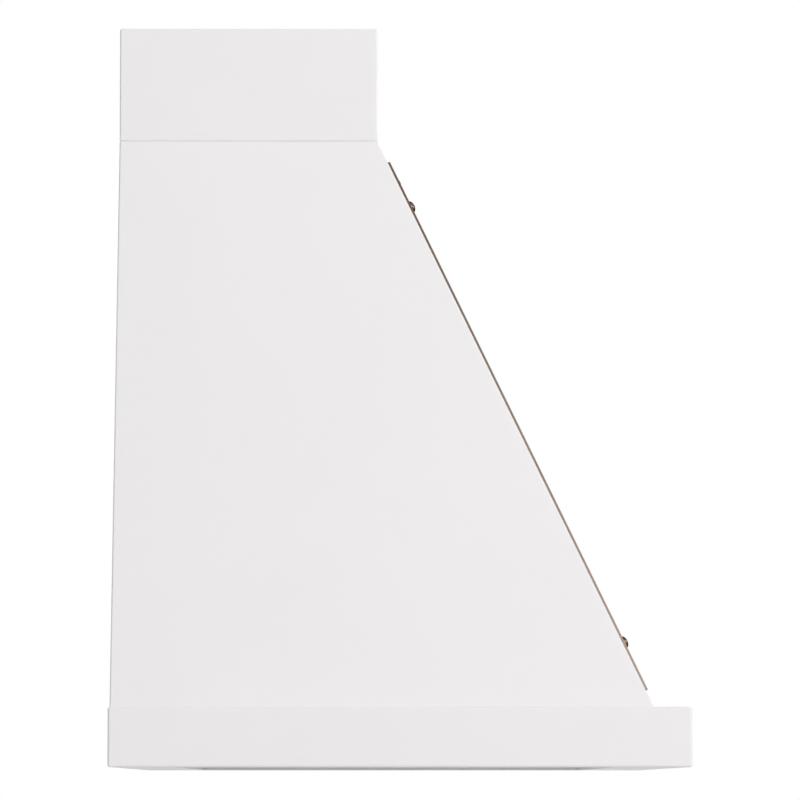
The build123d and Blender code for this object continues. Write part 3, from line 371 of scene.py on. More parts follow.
def brushed_stainless_steel():
    """Belt-ground sheet: the eye sees cool grey streaks along X and a soft, stretched gleam."""
    material, tree, output, place = new_material("brushed_stainless_steel")
    stretched = add(tree, "ShaderNodeMapping", {
        "Vector": place, "Scale": (1 / SCRATCH_LENGTH, 1.0, 1.0)})
    streak = add(tree, "ShaderNodeTexNoise", {
        "Vector": stretched.outputs[0], "Scale": per_metre(SCRATCH_MM), "Detail": 3.0})
    smear = add(tree, "ShaderNodeTexNoise", {
        "Vector": place, "Scale": per_metre(SMEAR_MM), "Detail": 2.0})
    tone = add(tree, "ShaderNodeMix", {
        MIX_FACTOR: streak.outputs[0], MIX_A: linear("#B6B7B8"), MIX_B: linear("#DCDDDD")},
        data_type="RGBA")
    both = add(tree, "ShaderNodeMath", {
        0: streak.outputs[0], 1: smear.outputs[0]}, operation="MULTIPLY")
    gloss = add(tree, "ShaderNodeMapRange", {
        "Value": both.outputs[0], "From Max": 0.6, "To Min": 0.24, "To Max": 0.44})
    bump = add(tree, "ShaderNodeBump", {
        "Height": streak.outputs[0], "Strength": 0.15, "Distance": 0.04 * MM})
    shader = add(tree, "ShaderNodeBsdfPrincipled", {
        "Base Color": tone.outputs[MIX_RESULT], "Metallic": 1.0, "Roughness": gloss.outputs[0],
        "Normal": bump.outputs[0]})
    tree.links.new(shader.outputs[0], output.inputs["Surface"])
    return material


STAINLESS = brushed_stainless_steel()
print("made", STAINLESS.name)

# %% [markdown]
# Galvanised sheet. The back panel, the duct parts and the blower are steel dipped in molten zinc,
# which freezes into flat crystals about a centimetre across, the spangle. Voronoi cells are just
# that: each cell takes its own grey and its own gloss from a random colour, and a fine noise dulls
# the whole.

# %% Galvanised sheet
SPANGLE_MM = 11.0
BLOOM_MM = 2.5


def spangled_galvanised_steel():
    """Hot-dip zinc: the eye sees a patchwork of grey crystals, each a little brighter or duller."""
    material, tree, output, place = new_material("spangled_galvanised_steel")
    crystal = add(tree, "ShaderNodeTexVoronoi", {"Vector": place, "Scale": per_metre(SPANGLE_MM)})
    random = add(tree, "ShaderNodeSeparateColor", {0: crystal.outputs["Color"]}).outputs
    bloom = add(tree, "ShaderNodeTexNoise", {
        "Vector": place, "Scale": per_metre(BLOOM_MM), "Detail": 3.0})
    blend = add(tree, "ShaderNodeMath", {0: random[0], 1: bloom.outputs[0]}, operation="MULTIPLY")
    tone = add(tree, "ShaderNodeMix", {
        MIX_FACTOR: blend.outputs[0], MIX_A: linear("#A2A7AA"), MIX_B: linear("#CED3D5")},
        data_type="RGBA")
    gloss = add(tree, "ShaderNodeMapRange", {"Value": random[1], "To Min": 0.34, "To Max": 0.56})
    bump = add(tree, "ShaderNodeBump", {
        "Height": bloom.outputs[0], "Strength": 0.12, "Distance": 0.05 * MM})
    shader = add(tree, "ShaderNodeBsdfPrincipled", {
        "Base Color": tone.outputs[MIX_RESULT], "Metallic": 1.0, "Roughness": gloss.outputs[0],
        "Normal": bump.outputs[0]})
    tree.links.new(shader.outputs[0], output.inputs["Surface"])
    return material


GALVANISED = spangled_galvanised_steel()
print("made", GALVANISED.name)

# %% [markdown]
# Bright zinc. Screws, spindles, the motor shaft and the damper rod are turned steel with a thin
# bright zinc plating: pale, a little blue, with fine turning marks. Real marks are about a tenth of
# a millimetre apart, and they are drawn at 0.8 mm to show.

# %% Bright zinc
TURNING_MM = 0.8


def bright_zinc_plated_steel():
    """Plated turned steel: the eye sees pale blue-grey metal with close, faint marks."""
    material, tree, output, place = new_material("bright_zinc_plated_steel")
    marks = add(tree, "ShaderNodeTexNoise", {
        "Vector": place, "Scale": per_metre(TURNING_MM), "Detail": 3.0})
    tone = add(tree, "ShaderNodeMix", {
        MIX_FACTOR: marks.outputs[0], MIX_A: linear("#B4B9BF"), MIX_B: linear("#D8DCE0")},
        data_type="RGBA")
    gloss = add(tree, "ShaderNodeMapRange", {
        "Value": marks.outputs[0], "To Min": 0.18, "To Max": 0.32})
    bump = add(tree, "ShaderNodeBump", {
        "Height": marks.outputs[0], "Strength": 0.10, "Distance": 0.03 * MM})
    shader = add(tree, "ShaderNodeBsdfPrincipled", {
        "Base Color": tone.outputs[MIX_RESULT], "Metallic": 1.0, "Roughness": gloss.outputs[0],
        "Normal": bump.outputs[0]})
    tree.links.new(shader.outputs[0], output.inputs["Surface"])
    return material


ZINC = bright_zinc_plated_steel()
print("made", ZINC.name)

# %% [markdown]
# Cast aluminium. The lamp bodies are die-cast: a duller and less blue grey than zinc, with the
# slightly pebbled skin that the mould leaves. Both are metals, so they differ only in tone, in
# gloss and in the size of their grain.

# %% Cast aluminium
PEBBLE_MM = 1.6


def die_cast_aluminium():
    """Cast light metal: the eye sees a soft grey with a fine pebbled skin."""
    material, tree, output, place = new_material("die_cast_aluminium")
    pebble = add(tree, "ShaderNodeTexNoise", {
        "Vector": place, "Scale": per_metre(PEBBLE_MM), "Detail": 2.0})
    tone = add(tree, "ShaderNodeMix", {
        MIX_FACTOR: pebble.outputs[0], MIX_A: linear("#97989A"), MIX_B: linear("#BDBEBE")},
        data_type="RGBA")
    gloss = add(tree, "ShaderNodeMapRange", {
        "Value": pebble.outputs[0], "To Min": 0.42, "To Max": 0.58})
    bump = add(tree, "ShaderNodeBump", {
        "Height": pebble.outputs[0], "Strength": 0.4, "Distance": 0.12 * MM})
    shader = add(tree, "ShaderNodeBsdfPrincipled", {
        "Base Color": tone.outputs[MIX_RESULT], "Metallic": 1.0, "Roughness": gloss.outputs[0],
        "Normal": bump.outputs[0]})
    tree.links.new(shader.outputs[0], output.inputs["Surface"])
    return material


ALUMINIUM = die_cast_aluminium()
print("made", ALUMINIUM.name)

# %% [markdown]
# Black plastic. Knobs and switches are ABS moulded against a spark-eroded tool, so they are matt
# with a fine even grain. The real grain is about 0.2 mm and is drawn at 0.7 mm to show. One noise
# gives tone, gloss and bump together, because all three follow the same pits in the surface.

# %% Black plastic
SPARK_MM = 0.7


def spark_textured_black_abs():
    """Moulded ABS: the eye sees a matt black with a fine grain that breaks up the highlights."""
    material, tree, output, place = new_material("spark_textured_black_abs")
    grain = add(tree, "ShaderNodeTexNoise", {
        "Vector": place, "Scale": per_metre(SPARK_MM), "Detail": 2.0})
    tone = add(tree, "ShaderNodeMix", {
        MIX_FACTOR: grain.outputs[0], MIX_A: linear("#141516"), MIX_B: linear("#2A2B2D")},
        data_type="RGBA")
    gloss = add(tree, "ShaderNodeMapRange", {
        "Value": grain.outputs[0], "To Min": 0.42, "To Max": 0.62})
    bump = add(tree, "ShaderNodeBump", {
        "Height": grain.outputs[0], "Strength": 0.35, "Distance": 0.06 * MM})
    shader = add(tree, "ShaderNodeBsdfPrincipled", {
        "Base Color": tone.outputs[MIX_RESULT], "Roughness": gloss.outputs[0],
        "Normal": bump.outputs[0], "IOR": 1.53})
    tree.links.new(shader.outputs[0], output.inputs["Surface"])
    return material


BLACK_ABS = spark_textured_black_abs()
print("made", BLACK_ABS.name)

# %% [markdown]
# Motor enamel. The motor has a dark baked enamel, smoother and glossier than the plastic, with the
# slight ripple of a thick coat that flowed before it set, about 3 mm across.

# %% Motor enamel
ENAMEL_MM = 3.0


def dark_baked_enamel():
    """Stoved motor enamel: the eye sees a deep blue-black gloss with a slight ripple."""
    material, tree, output, place = new_material("dark_baked_enamel")
    ripple = add(tree, "ShaderNodeTexNoise", {
        "Vector": place, "Scale": per_metre(ENAMEL_MM), "Detail": 1.0})
    tone = add(tree, "ShaderNodeMix", {
        MIX_FACTOR: ripple.outputs[0], MIX_A: linear("#1B2024"), MIX_B: linear("#2C3238")},
        data_type="RGBA")
    gloss = add(tree, "ShaderNodeMapRange", {
        "Value": ripple.outputs[0], "To Min": 0.22, "To Max": 0.34})
    bump = add(tree, "ShaderNodeBump", {
        "Height": ripple.outputs[0], "Strength": 0.2, "Distance": 0.08 * MM})
    shader = add(tree, "ShaderNodeBsdfPrincipled", {
        "Base Color": tone.outputs[MIX_RESULT], "Roughness": gloss.outputs[0],
        "Normal": bump.outputs[0], "IOR": 1.55})
    tree.links.new(shader.outputs[0], output.inputs["Surface"])
    return material


ENAMEL = dark_baked_enamel()
print("made", ENAMEL.name)

# %% [markdown]
# Frosted lenses. The lamp lenses are polycarbonate, milky and softly see-through, with a cloudy
# unevenness from the moulding. A clear lens would show the lamp's inside, so only a fifth of the
# light goes through and the rest is scattered at the surface.

# %% Frosted lenses
CLOUD_MM = 6.0


def frosted_polycarbonate():
    """Frosted lamp lens: the eye sees milky white plastic with a hint of what is behind it."""
    material, tree, output, place = new_material("frosted_polycarbonate")
    cloud = add(tree, "ShaderNodeTexNoise", {
        "Vector": place, "Scale": per_metre(CLOUD_MM), "Detail": 2.0})
    tone = add(tree, "ShaderNodeMix", {
        MIX_FACTOR: cloud.outputs[0], MIX_A: linear("#E4E5E0"), MIX_B: linear("#F4F5F1")},
        data_type="RGBA")
    gloss = add(tree, "ShaderNodeMapRange", {
        "Value": cloud.outputs[0], "To Min": 0.30, "To Max": 0.46})
    shader = add(tree, "ShaderNodeBsdfPrincipled", {
        "Base Color": tone.outputs[MIX_RESULT], "Roughness": gloss.outputs[0], "IOR": 1.58,
        "Transmission Weight": 0.2})
    tree.links.new(shader.outputs[0], output.inputs["Surface"])
    return material


FROSTED = frosted_polycarbonate()
print("made", FROSTED.name)

# %% [markdown]
# Dressing the solids. The record names a material slot for every node of the model, so one table
# from slot to finish dresses them all, and the shapes stay exactly as they were built.

# %% Dress the CAD nodes
FINISHES = {
    "white_paint": POWDER_COAT,
    "bronze": BRONZE,
    "stainless_steel": STAINLESS,
    "galvanised_steel": GALVANISED,
    "bright_steel": ZINC,
    "cast_aluminium": ALUMINIUM,
    "black_plastic": BLACK_ABS,
    "motor_enamel": ENAMEL,
    "lamp_lens": FROSTED,
}
slot_of = {part["node"]: part["material_slot"] for part in frame["record"]["subparts"]}
for name, node in frame["nodes"].items():
    node.data.materials.clear()
    node.data.materials.append(FINISHES[slot_of[name]])
print("dressed", len(slot_of), "nodes")

# %% [markdown]
# Building new pieces. A surface worked out on a grid of two parameters comes as one array of
# points, row by row. Its faces are the same four-cornered pattern everywhere, so they are worked
# out as an array too, with the last column joined to the first where the shape closes on itself. A
# piece then gets its finish, the body that it rides on, and the nodes that it stands for.

# %% Grid and piece helpers
SHARP_ANGLE = 40.0


def grid_faces(rows, columns, first):
    """Quads of a grid closed round its columns: corners (i, j), (i, j+1), (i+1, j+1), (i+1, j)."""
    i, j = np.meshgrid(np.arange(rows - 1), np.arange(columns), indexing="ij")
    here = i * columns + j
    beside = i * columns + (j + 1) % columns
    quads = np.stack([here, beside, beside + columns, here + columns], axis=-1)
    return (quads.reshape(-1, 4) + first).tolist()


def closed_tube(points, first):
    """Faces of a tube of rings, points[ring, column]: its quads and one flat face over each end."""
    rows, columns = points.shape[:2]
    start = list(range(first + columns - 1, first - 1, -1))
    end = list(range(first + (rows - 1) * columns, first + rows * columns))
    return grid_faces(rows, columns, first) + [start, end]


def make_piece(name, tubes, finish, body, stands_for=(), wear_and_highlight=None, sharp=SHARP_ANGLE):
    """One mesh of closed tubes of rings, in metres, facing outwards, dressed and set on its body."""
    points = np.concatenate([tube.reshape(-1, 3) for tube in tubes])
    faces = []
    first = 0
    for tube in tubes:
        faces += closed_tube(tube, first)
        first += tube.shape[0] * tube.shape[1]
    mesh = bpy.data.meshes.new(name)
    mesh.from_pydata(points.tolist(), [], faces)
    # The attribute holds rubbed wear and, on the rivets, a painted highlight.
    if wear_and_highlight is not None:
        worn = mesh.attributes.new("wear_and_highlight", "FLOAT", "POINT")
        worn.data.foreach_set("value", wear_and_highlight.astype(np.float32).ravel())
    mesh.polygons.foreach_set("use_smooth", np.ones(len(mesh.polygons), dtype=bool))
    mesh.set_sharp_from_angle(angle=math.radians(sharp))
    mesh.materials.append(finish)
    piece = bpy.data.objects.new(name, mesh)
    bpy.context.scene.collection.objects.link(piece)
    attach(piece, body)
    if stands_for:
        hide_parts(*stands_for)


print("a tube of 3 rings of 8 points has", len(closed_tube(np.zeros((3, 8, 3)), 0)), "faces")

# %% [markdown]
# The sloped front. The straps and their rivets lie on it, so it is worked out first, in
# millimetres. It has a foot and a head corner on each side, each given by half the width, the depth
# from the wall and the height. They give the line square to the front, and for each side the way up
# the edge and the way inwards.

# %% Sloped front
FOOT_HALF, FOOT_DEPTH, FOOT_HEIGHT = 421.3, 542.3, 59.5
HEAD_HALF, HEAD_DEPTH, HEAD_HEIGHT = 266.0, 266.8, 647.1
NORMAL = np.array([0.0, -(HEAD_HEIGHT - FOOT_HEIGHT), FOOT_DEPTH - HEAD_DEPTH])
NORMAL /= np.linalg.norm(NORMAL)


def front_edge(side):
    """Foot corner of the sloped front on one side, the way up its edge, and the way inwards."""
    foot = np.array([side * FOOT_HALF, -FOOT_DEPTH, FOOT_HEIGHT])
    along = np.array([side * HEAD_HALF, -HEAD_DEPTH, HEAD_HEIGHT]) - foot
    along /= np.linalg.norm(along)
    return foot, along, side * np.cross(NORMAL, along)


print("the front leans back by", round(math.degrees(math.acos(-NORMAL[1])), 1), "degrees")

# %% [markdown]
# The outline of a strap. A strap is a flat bar with softened edges. A cube with a bevel would do,
# but it couldn't be cut level and it would not know where its edges are. Here an outline is carried
# along a path instead. One function gives the outline with its two rounded edges and how worn each
# point of it is, one shares out the places along the bar, and one sinks the outline near both ends
# to round them as well.

# %% Strap outline
STRAP_WIDTH, STRAP_THICKNESS, STRAP_ROUND = 38.0, 2.4, 0.4
WEAR_REACH, WEAR_ON_FLANK = 2.5, 1.2
ROUND_STEPS, BAR_STEPS, END_ZONE = 6, 25, 4
FACE_PLACES = np.array([0.02, 0.05, 0.1, 0.3, 0.5, 0.7, 0.9, 0.95, 0.98])


def bar_outline(width, thickness, radius):
    """Closed outline of a flat bar with two rounded upper edges, as across and out, and its wear:
    full on the flanks and the rounding, fading to none a few millimetres in on the face."""
    turn = np.linspace(np.pi / 2, 0.0, ROUND_STEPS)
    corner_across = radius * (1 - np.sin(turn))
    corner_out = thickness - radius + radius * np.cos(turn)
    face = radius + (width - 2 * radius) * FACE_PLACES
    across = np.concatenate([[0.0], corner_across, face, width - corner_across[::-1], [width]])
    level = np.full(face.size, thickness)
    out = np.concatenate([[0.0], corner_out, level, corner_out[::-1], [0.0]])
    inside = np.minimum(across, width - across)
    return across, out, np.clip(WEAR_ON_FLANK - inside / WEAR_REACH, 0.0, 1.0)


def end_steps(length, radius):
    """Places along a bar, 0 to 1: close together in the rounding at both ends, even between them."""
    start = radius * (1 - np.cos(np.linspace(0.0, np.pi / 2, ROUND_STEPS)))
    middle = np.linspace(END_ZONE * radius, length - END_ZONE * radius, BAR_STEPS)
    return np.concatenate([start, middle, length - start[::-1]]) / length


def sunk(out, place, length, radius, thickness):
    """The outline's height at each place: near an end it stays under a quarter circle."""
    inside = np.minimum(np.minimum(place, 1 - place) * length, radius)
    roof = thickness - radius + np.sqrt(radius**2 - (radius - inside) ** 2)
    return np.minimum(out[None, :], roof[:, None])


outline_points = bar_outline(STRAP_WIDTH, STRAP_THICKNESS, STRAP_ROUND)[0].size
print("strap outline of", outline_points, "points")

# %% [markdown]
# The straps along the edges. Each lies on the sloped front beside its edge and is cut off level at
# both ends. Every point of the outline runs up the slope from one level cut to the other, so both
# ends come out level, and the wear goes along with the points.

# %% Straps along the edges
STRAP_INSET = 2.0
STRAP_LOW, STRAP_HIGH = 77.1, 624.9


def edge_strap(side):
    """Foot corner + inwards*across + normal*out, then up the edge until the height is reached."""
    foot, along, inward = front_edge(side)
    across, out, wear_and_highlight = bar_outline(STRAP_WIDTH, STRAP_THICKNESS, STRAP_ROUND)
    length = (STRAP_HIGH - STRAP_LOW) / along[2]
    place = end_steps(length, STRAP_ROUND)
    raised = sunk(out, place, length, STRAP_ROUND, STRAP_THICKNESS)
    base = foot + (across[None, :, None] + STRAP_INSET) * inward + raised[..., None] * NORMAL
    height = STRAP_LOW + place * (STRAP_HIGH - STRAP_LOW)
    points = base + ((height[:, None] - base[..., 2]) / along[2])[..., None] * along
    return points[:, ::-side] * MM, np.broadcast_to(wear_and_highlight, points.shape[:2])[:, ::-side]


for name, side in {"left": -1, "right": 1}.items():
    points, wear_and_highlight = edge_strap(side)
    make_piece(f"strap_{name}_bar", [points], BRONZE, "hood", [f"strap_{name}"], wear_and_highlight)
    lowest, highest = points.min(axis=(0, 1)), points.max(axis=(0, 1))
    print("strap", name, "from", lowest.round(4), "to", highest.round(4))

# %% [markdown]
# The strap across the top. It runs level between the two edge straps, so its outline is carried
# along X, and each line of it stops where it meets the inner flank of the edge strap, a hair's
# breadth short.

# %% Strap across the top
STRAP_GAP = 0.3
CROSS_INSET = STRAP_INSET + STRAP_WIDTH + STRAP_GAP


def cross_strap():
    """The outline climbs the slope by across and stands out along the normal. Its ends are where
    (point - foot corner) . inwards equals the inset, and its places lie between those ends."""
    foot, along, inward = front_edge(1)
    rise = STRAP_WIDTH * along[2]
    across, out, wear_and_highlight = bar_outline(rise, STRAP_THICKNESS, STRAP_ROUND)
    length = 2 * HEAD_HALF
    place = end_steps(length, STRAP_ROUND)
    raised = sunk(out, place, length, STRAP_ROUND, STRAP_THICKNESS)
    z = STRAP_HIGH - rise + np.broadcast_to(across, raised.shape)
    y = foot[1] + (raised - NORMAL[2] * (z - foot[2])) / NORMAL[1]
    inset = CROSS_INSET - inward[1] * (y - foot[1]) - inward[2] * (z - foot[2])
    end = foot[0] + inset / inward[0]
    points = np.stack([end * (2 * place[:, None] - 1), y, z], axis=-1)
    return points[:, ::-1] * MM, np.broadcast_to(wear_and_highlight, z.shape)[:, ::-1]


points, wear_and_highlight = cross_strap()
make_piece("strap_cross_bar", [points], BRONZE, "hood", ["strap_cross"], wear_and_highlight)
print("cross strap, width", round(float(np.ptp(points[..., 0])), 4))

# %% [markdown]
# The outline of a rivet. Six dome heads hold the straps: two on each edge strap and two on the
# cross strap. A rivet is round, so an outline of radius and height says all about its shape. The
# head is half an ellipse, steep at its rim, and below it come the shank and the tail inside. Each
# ring also gets a painted highlight, a paler tone on the flank of the dome that stands for the
# reflection of a light: most about halfway up, and little at the rim and at the top.

# %% Rivet outline
RIVET_RADIUS, RIVET_HEIGHT = 6.5, 4.1
RIVET_SHANK, RIVET_TAIL_RADIUS, RIVET_TAIL = 3.0, 5.0, 2.2
SHEET = 1.2
DOME_RINGS = 14
POLE_RADIUS = 0.05
HIGHLIGHT_ANGLE, HIGHLIGHT_SPREAD, HIGHLIGHT_AMOUNT = 0.55, 0.33, 0.95

dome = np.linspace(0.0, np.pi / 2, DOME_RINGS)
head_radius = np.append(RIVET_RADIUS * np.cos(dome[:-1]), POLE_RADIUS)
head_height = STRAP_THICKNESS + RIVET_HEIGHT * np.sin(dome)
inner_radius = [POLE_RADIUS, RIVET_TAIL_RADIUS, RIVET_TAIL_RADIUS, RIVET_SHANK, RIVET_SHANK]
inner_height = [-SHEET - RIVET_TAIL, -SHEET - RIVET_TAIL, -SHEET, -SHEET, STRAP_THICKNESS]
rivet_radius = np.concatenate([inner_radius, head_radius])
rivet_height = np.concatenate([inner_height, head_height])
# Painted highlight on each dome, strongest about halfway up.
head_painted_highlight = HIGHLIGHT_AMOUNT * np.exp(-((dome - HIGHLIGHT_ANGLE) / HIGHLIGHT_SPREAD) ** 2)
rivet_painted_highlight = np.concatenate([np.zeros(len(inner_radius)), head_painted_highlight])
print("rivet outline of", rivet_radius.size, "rings")

# %% [markdown]
# The rivets. The outline is turned round the line square to the front, at six places. Blender's
# Spin tool would turn a drawn outline, but a formula gives all the rings at once and leaves no seam
# to close. The painted highlight sits only on the outer side of a dome, so round the axis it narrows
# to a small spot, and the dome stays dark round it.

# %% Rivets
RIVET_END_DISTANCE, CROSS_RIVET_END_DISTANCE = 47.1, 22.5
RIVET_TURNS = 48
HIGHLIGHT_NARROWING = 8


def revolve(radius, height, centre, axis, turns):
    """Centre + axis*height + radius*(cos t, sin t) in the plane square to the axis, for every t
    round it. The axis has length 1 and is square to X. A ring of tiny radius stands for a pole."""
    axis = np.asarray(axis, dtype=float)
    across = np.cross(axis, [1.0, 0.0, 0.0])
    beside = np.cross(axis, across)
    t = np.linspace(0.0, 2 * np.pi, turns, endpoint=False)
    ring = np.cos(t)[:, None] * across + np.sin(t)[:, None] * beside
    return centre + height[:, None, None] * axis + radius[:, None, None] * ring


def on_front(side, distance, height):
    """Point on the sloped front at that height, that far in from its edge."""
    foot, along, inward = front_edge(side)
    start = foot + distance * inward
    return start + along * (height - start[2]) / along[2]


around = np.linspace(0.0, 2 * np.pi, RIVET_TURNS, endpoint=False)
strap_middle = STRAP_INSET + STRAP_WIDTH / 2
cross_middle = STRAP_HIGH - STRAP_WIDTH * front_edge(1)[1][2] / 2
rivet_places = [(strap_middle, STRAP_LOW + RIVET_END_DISTANCE),
                (strap_middle, STRAP_HIGH - RIVET_END_DISTANCE),
                (CROSS_INSET + CROSS_RIVET_END_DISTANCE, cross_middle)]
rivets, painted_highlights = [], []
for side in (-1, 1):
    # The painted highlight narrows to the outer side of each dome.
    highlight_side = np.clip(-side * np.sin(around), 0.0, 1.0) ** HIGHLIGHT_NARROWING
    for distance, height in rivet_places:
        centre = on_front(side, distance, height)
        rivets.append(revolve(rivet_radius, rivet_height, centre, NORMAL, RIVET_TURNS) * MM)
        painted_highlights.append(rivet_painted_highlight[:, None] * highlight_side)
make_piece("strap_rivet_heads", rivets, PAINTED_HIGHLIGHT_BRONZE, "hood", ["strap_rivets"],
           np.stack(painted_highlights))
print("rivets", len(rivets))

# %% [markdown]
# Screw heads. A pan head is a low dome with a cross recess. It could be cut out with a Boolean, but
# a height over a round patch gives both at once: the dome falls away towards the rim, and the cross
# is pressed in where a point is close to either of two lines. The patch is a grid of radius and
# angle, and three more rings carry it down to the seat and along the shank.

# %% Cross-recess screw head
SCREW_HEAD_RADIUS = 3.8
CROSS_REACH, CROSS_HALF, CROSS_DEPTH = 2.3, 0.55, 1.1
CROSS_SIDE_SOFTNESS, CROSS_END_SOFTNESS = 0.3, 0.4
DOME_FLATNESS = 1.15
SCREW_RINGS, SCREW_TURNS = 15, 64
SCREW_INNER_RING, SCREW_OUTER_RING = 0.02, 0.98


def screw_head(centre, up, radius, head, shank, depth):
    """Height = head*sqrt(1 - (r/R)^2 / flatness), less the cross: its depth times a soft step that
    is 1 within the half width of either line and inside its reach, and 0 beyond. up is 1 or -1
    along Z."""
    fractions = np.append(np.linspace(SCREW_INNER_RING, SCREW_OUTER_RING, SCREW_RINGS), 1.0)
    r = fractions[::-1, None] * radius
    t = np.linspace(0.0, 2 * np.pi, SCREW_TURNS, endpoint=False)
    x, y = r * np.cos(t), r * np.sin(t)
    scale = radius / SCREW_HEAD_RADIUS
    beside = np.minimum(np.abs(x), np.abs(y)) / scale
    near_line = np.clip((CROSS_HALF - beside) / CROSS_SIDE_SOFTNESS + 0.5, 0, 1)
    in_reach = np.clip((CROSS_REACH - r / scale) / CROSS_END_SOFTNESS, 0, 1)
    dome_height = head * np.sqrt(1 - (r / radius) ** 2 / DOME_FLATNESS)
    top = np.stack([x, y, dome_height - CROSS_DEPTH * scale * near_line * in_reach], axis=-1)
    skirt = [np.stack([q * np.cos(t), q * np.sin(t), np.full(SCREW_TURNS, h)], axis=-1)
             for q, h in ((shank, -depth), (shank, 0.0), (radius, 0.0))]
    points = np.concatenate([np.stack(skirt), top])
    if up < 0:
        points = (points * (1, 1, -1))[:, ::-1]
    return (points + centre) * MM


print("screw head of", SCREW_RINGS + 1, "rings and", SCREW_TURNS, "turns")

# %% [markdown]
# The screws. The collar is screwed to the canopy from inside, with two screws in front and two at
# each end, and the control panel is held by four smaller ones with their heads down. A cross recess
# keeps its proportions to the head, so one function makes both sizes.

# %% Screws of the collar and the panel
SCREW_HEAD, SCREW_RADIUS, SCREW_SHARP_ANGLE = 2.4, 2.0, 50.0
COLLAR_HALF, COLLAR_DEPTH, FLANGE_MIDDLE = HEAD_HALF, HEAD_DEPTH, 8.0
SCREW_SPAN_FRONT, SCREW_SPAN_SIDE = 300.0, 120.0
SCREW_SEAT, SCREW_TIP = 649.3, 641.9
PANEL_SCREW_RADIUS, PANEL_SCREW_HEAD = 3.0, 1.8
PANEL_SCREW_SHANK, PANEL_SCREW_DEPTH = 1.5, 0.8
PANEL_SCREW_X, PANEL_SCREW_INSET = 372.0, 12.0
OPEN_FRONT, PANEL_DEPTH, PANEL_HEIGHT = -501.0, 97.0, 28.0

collar_places = [(side * SCREW_SPAN_FRONT / 2, FLANGE_MIDDLE - COLLAR_DEPTH, SCREW_SEAT)
                 for side in (-1, 1)]
collar_places += [(side * (COLLAR_HALF - FLANGE_MIDDLE),
                   (step * SCREW_SPAN_SIDE - COLLAR_DEPTH) / 2, SCREW_SEAT)
                  for side in (-1, 1) for step in (-1, 1)]
collar_screws = [screw_head(place, 1, SCREW_HEAD_RADIUS, SCREW_HEAD, SCREW_RADIUS,
                            SCREW_SEAT - SCREW_TIP) for place in collar_places]
make_piece("collar_screw_heads", collar_screws, ZINC, "hood", ["collar_screws"],
           sharp=SCREW_SHARP_ANGLE)
panel_rows = (OPEN_FRONT + PANEL_SCREW_INSET, OPEN_FRONT + PANEL_DEPTH - PANEL_SCREW_INSET)
panel_places = [(side * PANEL_SCREW_X, y, PANEL_HEIGHT) for side in (-1, 1) for y in panel_rows]
panel_screws = [screw_head(place, -1, PANEL_SCREW_RADIUS, PANEL_SCREW_HEAD, PANEL_SCREW_SHANK,
                           PANEL_SCREW_DEPTH) for place in panel_places]
make_piece("control_panel_screws", panel_screws, ZINC, "hood",
           sharp=SCREW_SHARP_ANGLE)
print("screws", len(collar_screws), "+", len(panel_screws))

# %% [markdown]
# Lamp lenses. A plain disc would look like a button, but a real lens is moulded with fine rings
# that spread the light, inside a smooth rim. The outline from the middle to the rim is a row of
# small waves, each a cosine, and turning it round gives the rings. The flat side faces up, against
# the lamp body.

# %% Lamp lenses
LAMP_X, LENS_RADIUS, LENS_HEIGHT = 250.0, 27.7, 1.7
PANEL_Y = OPEN_FRONT + PANEL_DEPTH / 2
LENS_RINGS, LENS_RING_DEPTH, LENS_RIM = 9, 0.45, 3.0
LENS_CHAMFER, STEPS_PER_RING, LENS_TURNS = 0.3, 4, 72
DOWN = (0, 0, -1)
ring_radius = np.linspace(POLE_RADIUS, LENS_RADIUS - LENS_RIM, LENS_RINGS * STEPS_PER_RING + 1)
ring_angle = 2 * np.pi * LENS_RINGS * ring_radius / ring_radius[-1]
ring_depth = LENS_RING_DEPTH * (0.5 + 0.5 * np.cos(ring_angle))
rim_radius = [POLE_RADIUS, LENS_RADIUS, LENS_RADIUS, LENS_RADIUS - LENS_CHAMFER]
rim_height = [0.0, 0.0, LENS_HEIGHT - LENS_CHAMFER, LENS_HEIGHT]
lens_radius = np.concatenate([rim_radius, ring_radius[::-1]])
lens_height = np.concatenate([rim_height, LENS_HEIGHT - ring_depth[::-1]])
for name, side in {"left": -1, "right": 1}.items():
    centre = (side * LAMP_X, PANEL_Y, PANEL_HEIGHT)
    lens = revolve(lens_radius, lens_height, centre, DOWN, LENS_TURNS) * MM
    make_piece(f"lamp_lens_{name}_rings", [lens], FROSTED, "hood",
               [f"lamp_lens_{name}"])
print("lens rings", LENS_RINGS)

# %% [markdown]
# Printing ink. The lines on the knobs and the marks round them are screen-printed with epoxy ink,
# white on the black plastic and black on the steel: even and matt, with fine specks. Real specks
# are too fine to show and are drawn at 1.5 mm.

# %% Screen-print ink
INK_SPECK_MM = 1.5


def screen_print_ink(name, dark, light):
    """Screen-printed epoxy ink: the eye sees an even matt tone, slightly grainy all over."""
    material, tree, output, place = new_material(name)
    speck = add(tree, "ShaderNodeTexNoise", {
        "Vector": place, "Scale": per_metre(INK_SPECK_MM), "Detail": 2.0})
    tone = add(tree, "ShaderNodeMix", {
        MIX_FACTOR: speck.outputs[0], MIX_A: linear(dark), MIX_B: linear(light)},
        data_type="RGBA")
    gloss = add(tree, "ShaderNodeMapRange", {
        "Value": speck.outputs[0], "To Min": 0.45, "To Max": 0.6})
    shader = add(tree, "ShaderNodeBsdfPrincipled", {
        "Base Color": tone.outputs[MIX_RESULT], "Roughness": gloss.outputs[0], "IOR": 1.5})
    tree.links.new(shader.outputs[0], output.inputs["Surface"])
    return material


WHITE_INK = screen_print_ink("white_screen_print_ink", "#E2E2DE", "#F0F0EC")
BLACK_INK = screen_print_ink("black_screen_print_ink", "#232426", "#303134")
print("made", WHITE_INK.name, BLACK_INK.name)

# %% [markdown]
# Marks for the controls. Each knob has a white line on its end that shows where it points, and the
# panel has a ring of short dashes round it. Both are thin inlays: a flat bar whose edges are drawn
# in towards its top. The line turns with its knob, and the dashes stay on the panel.

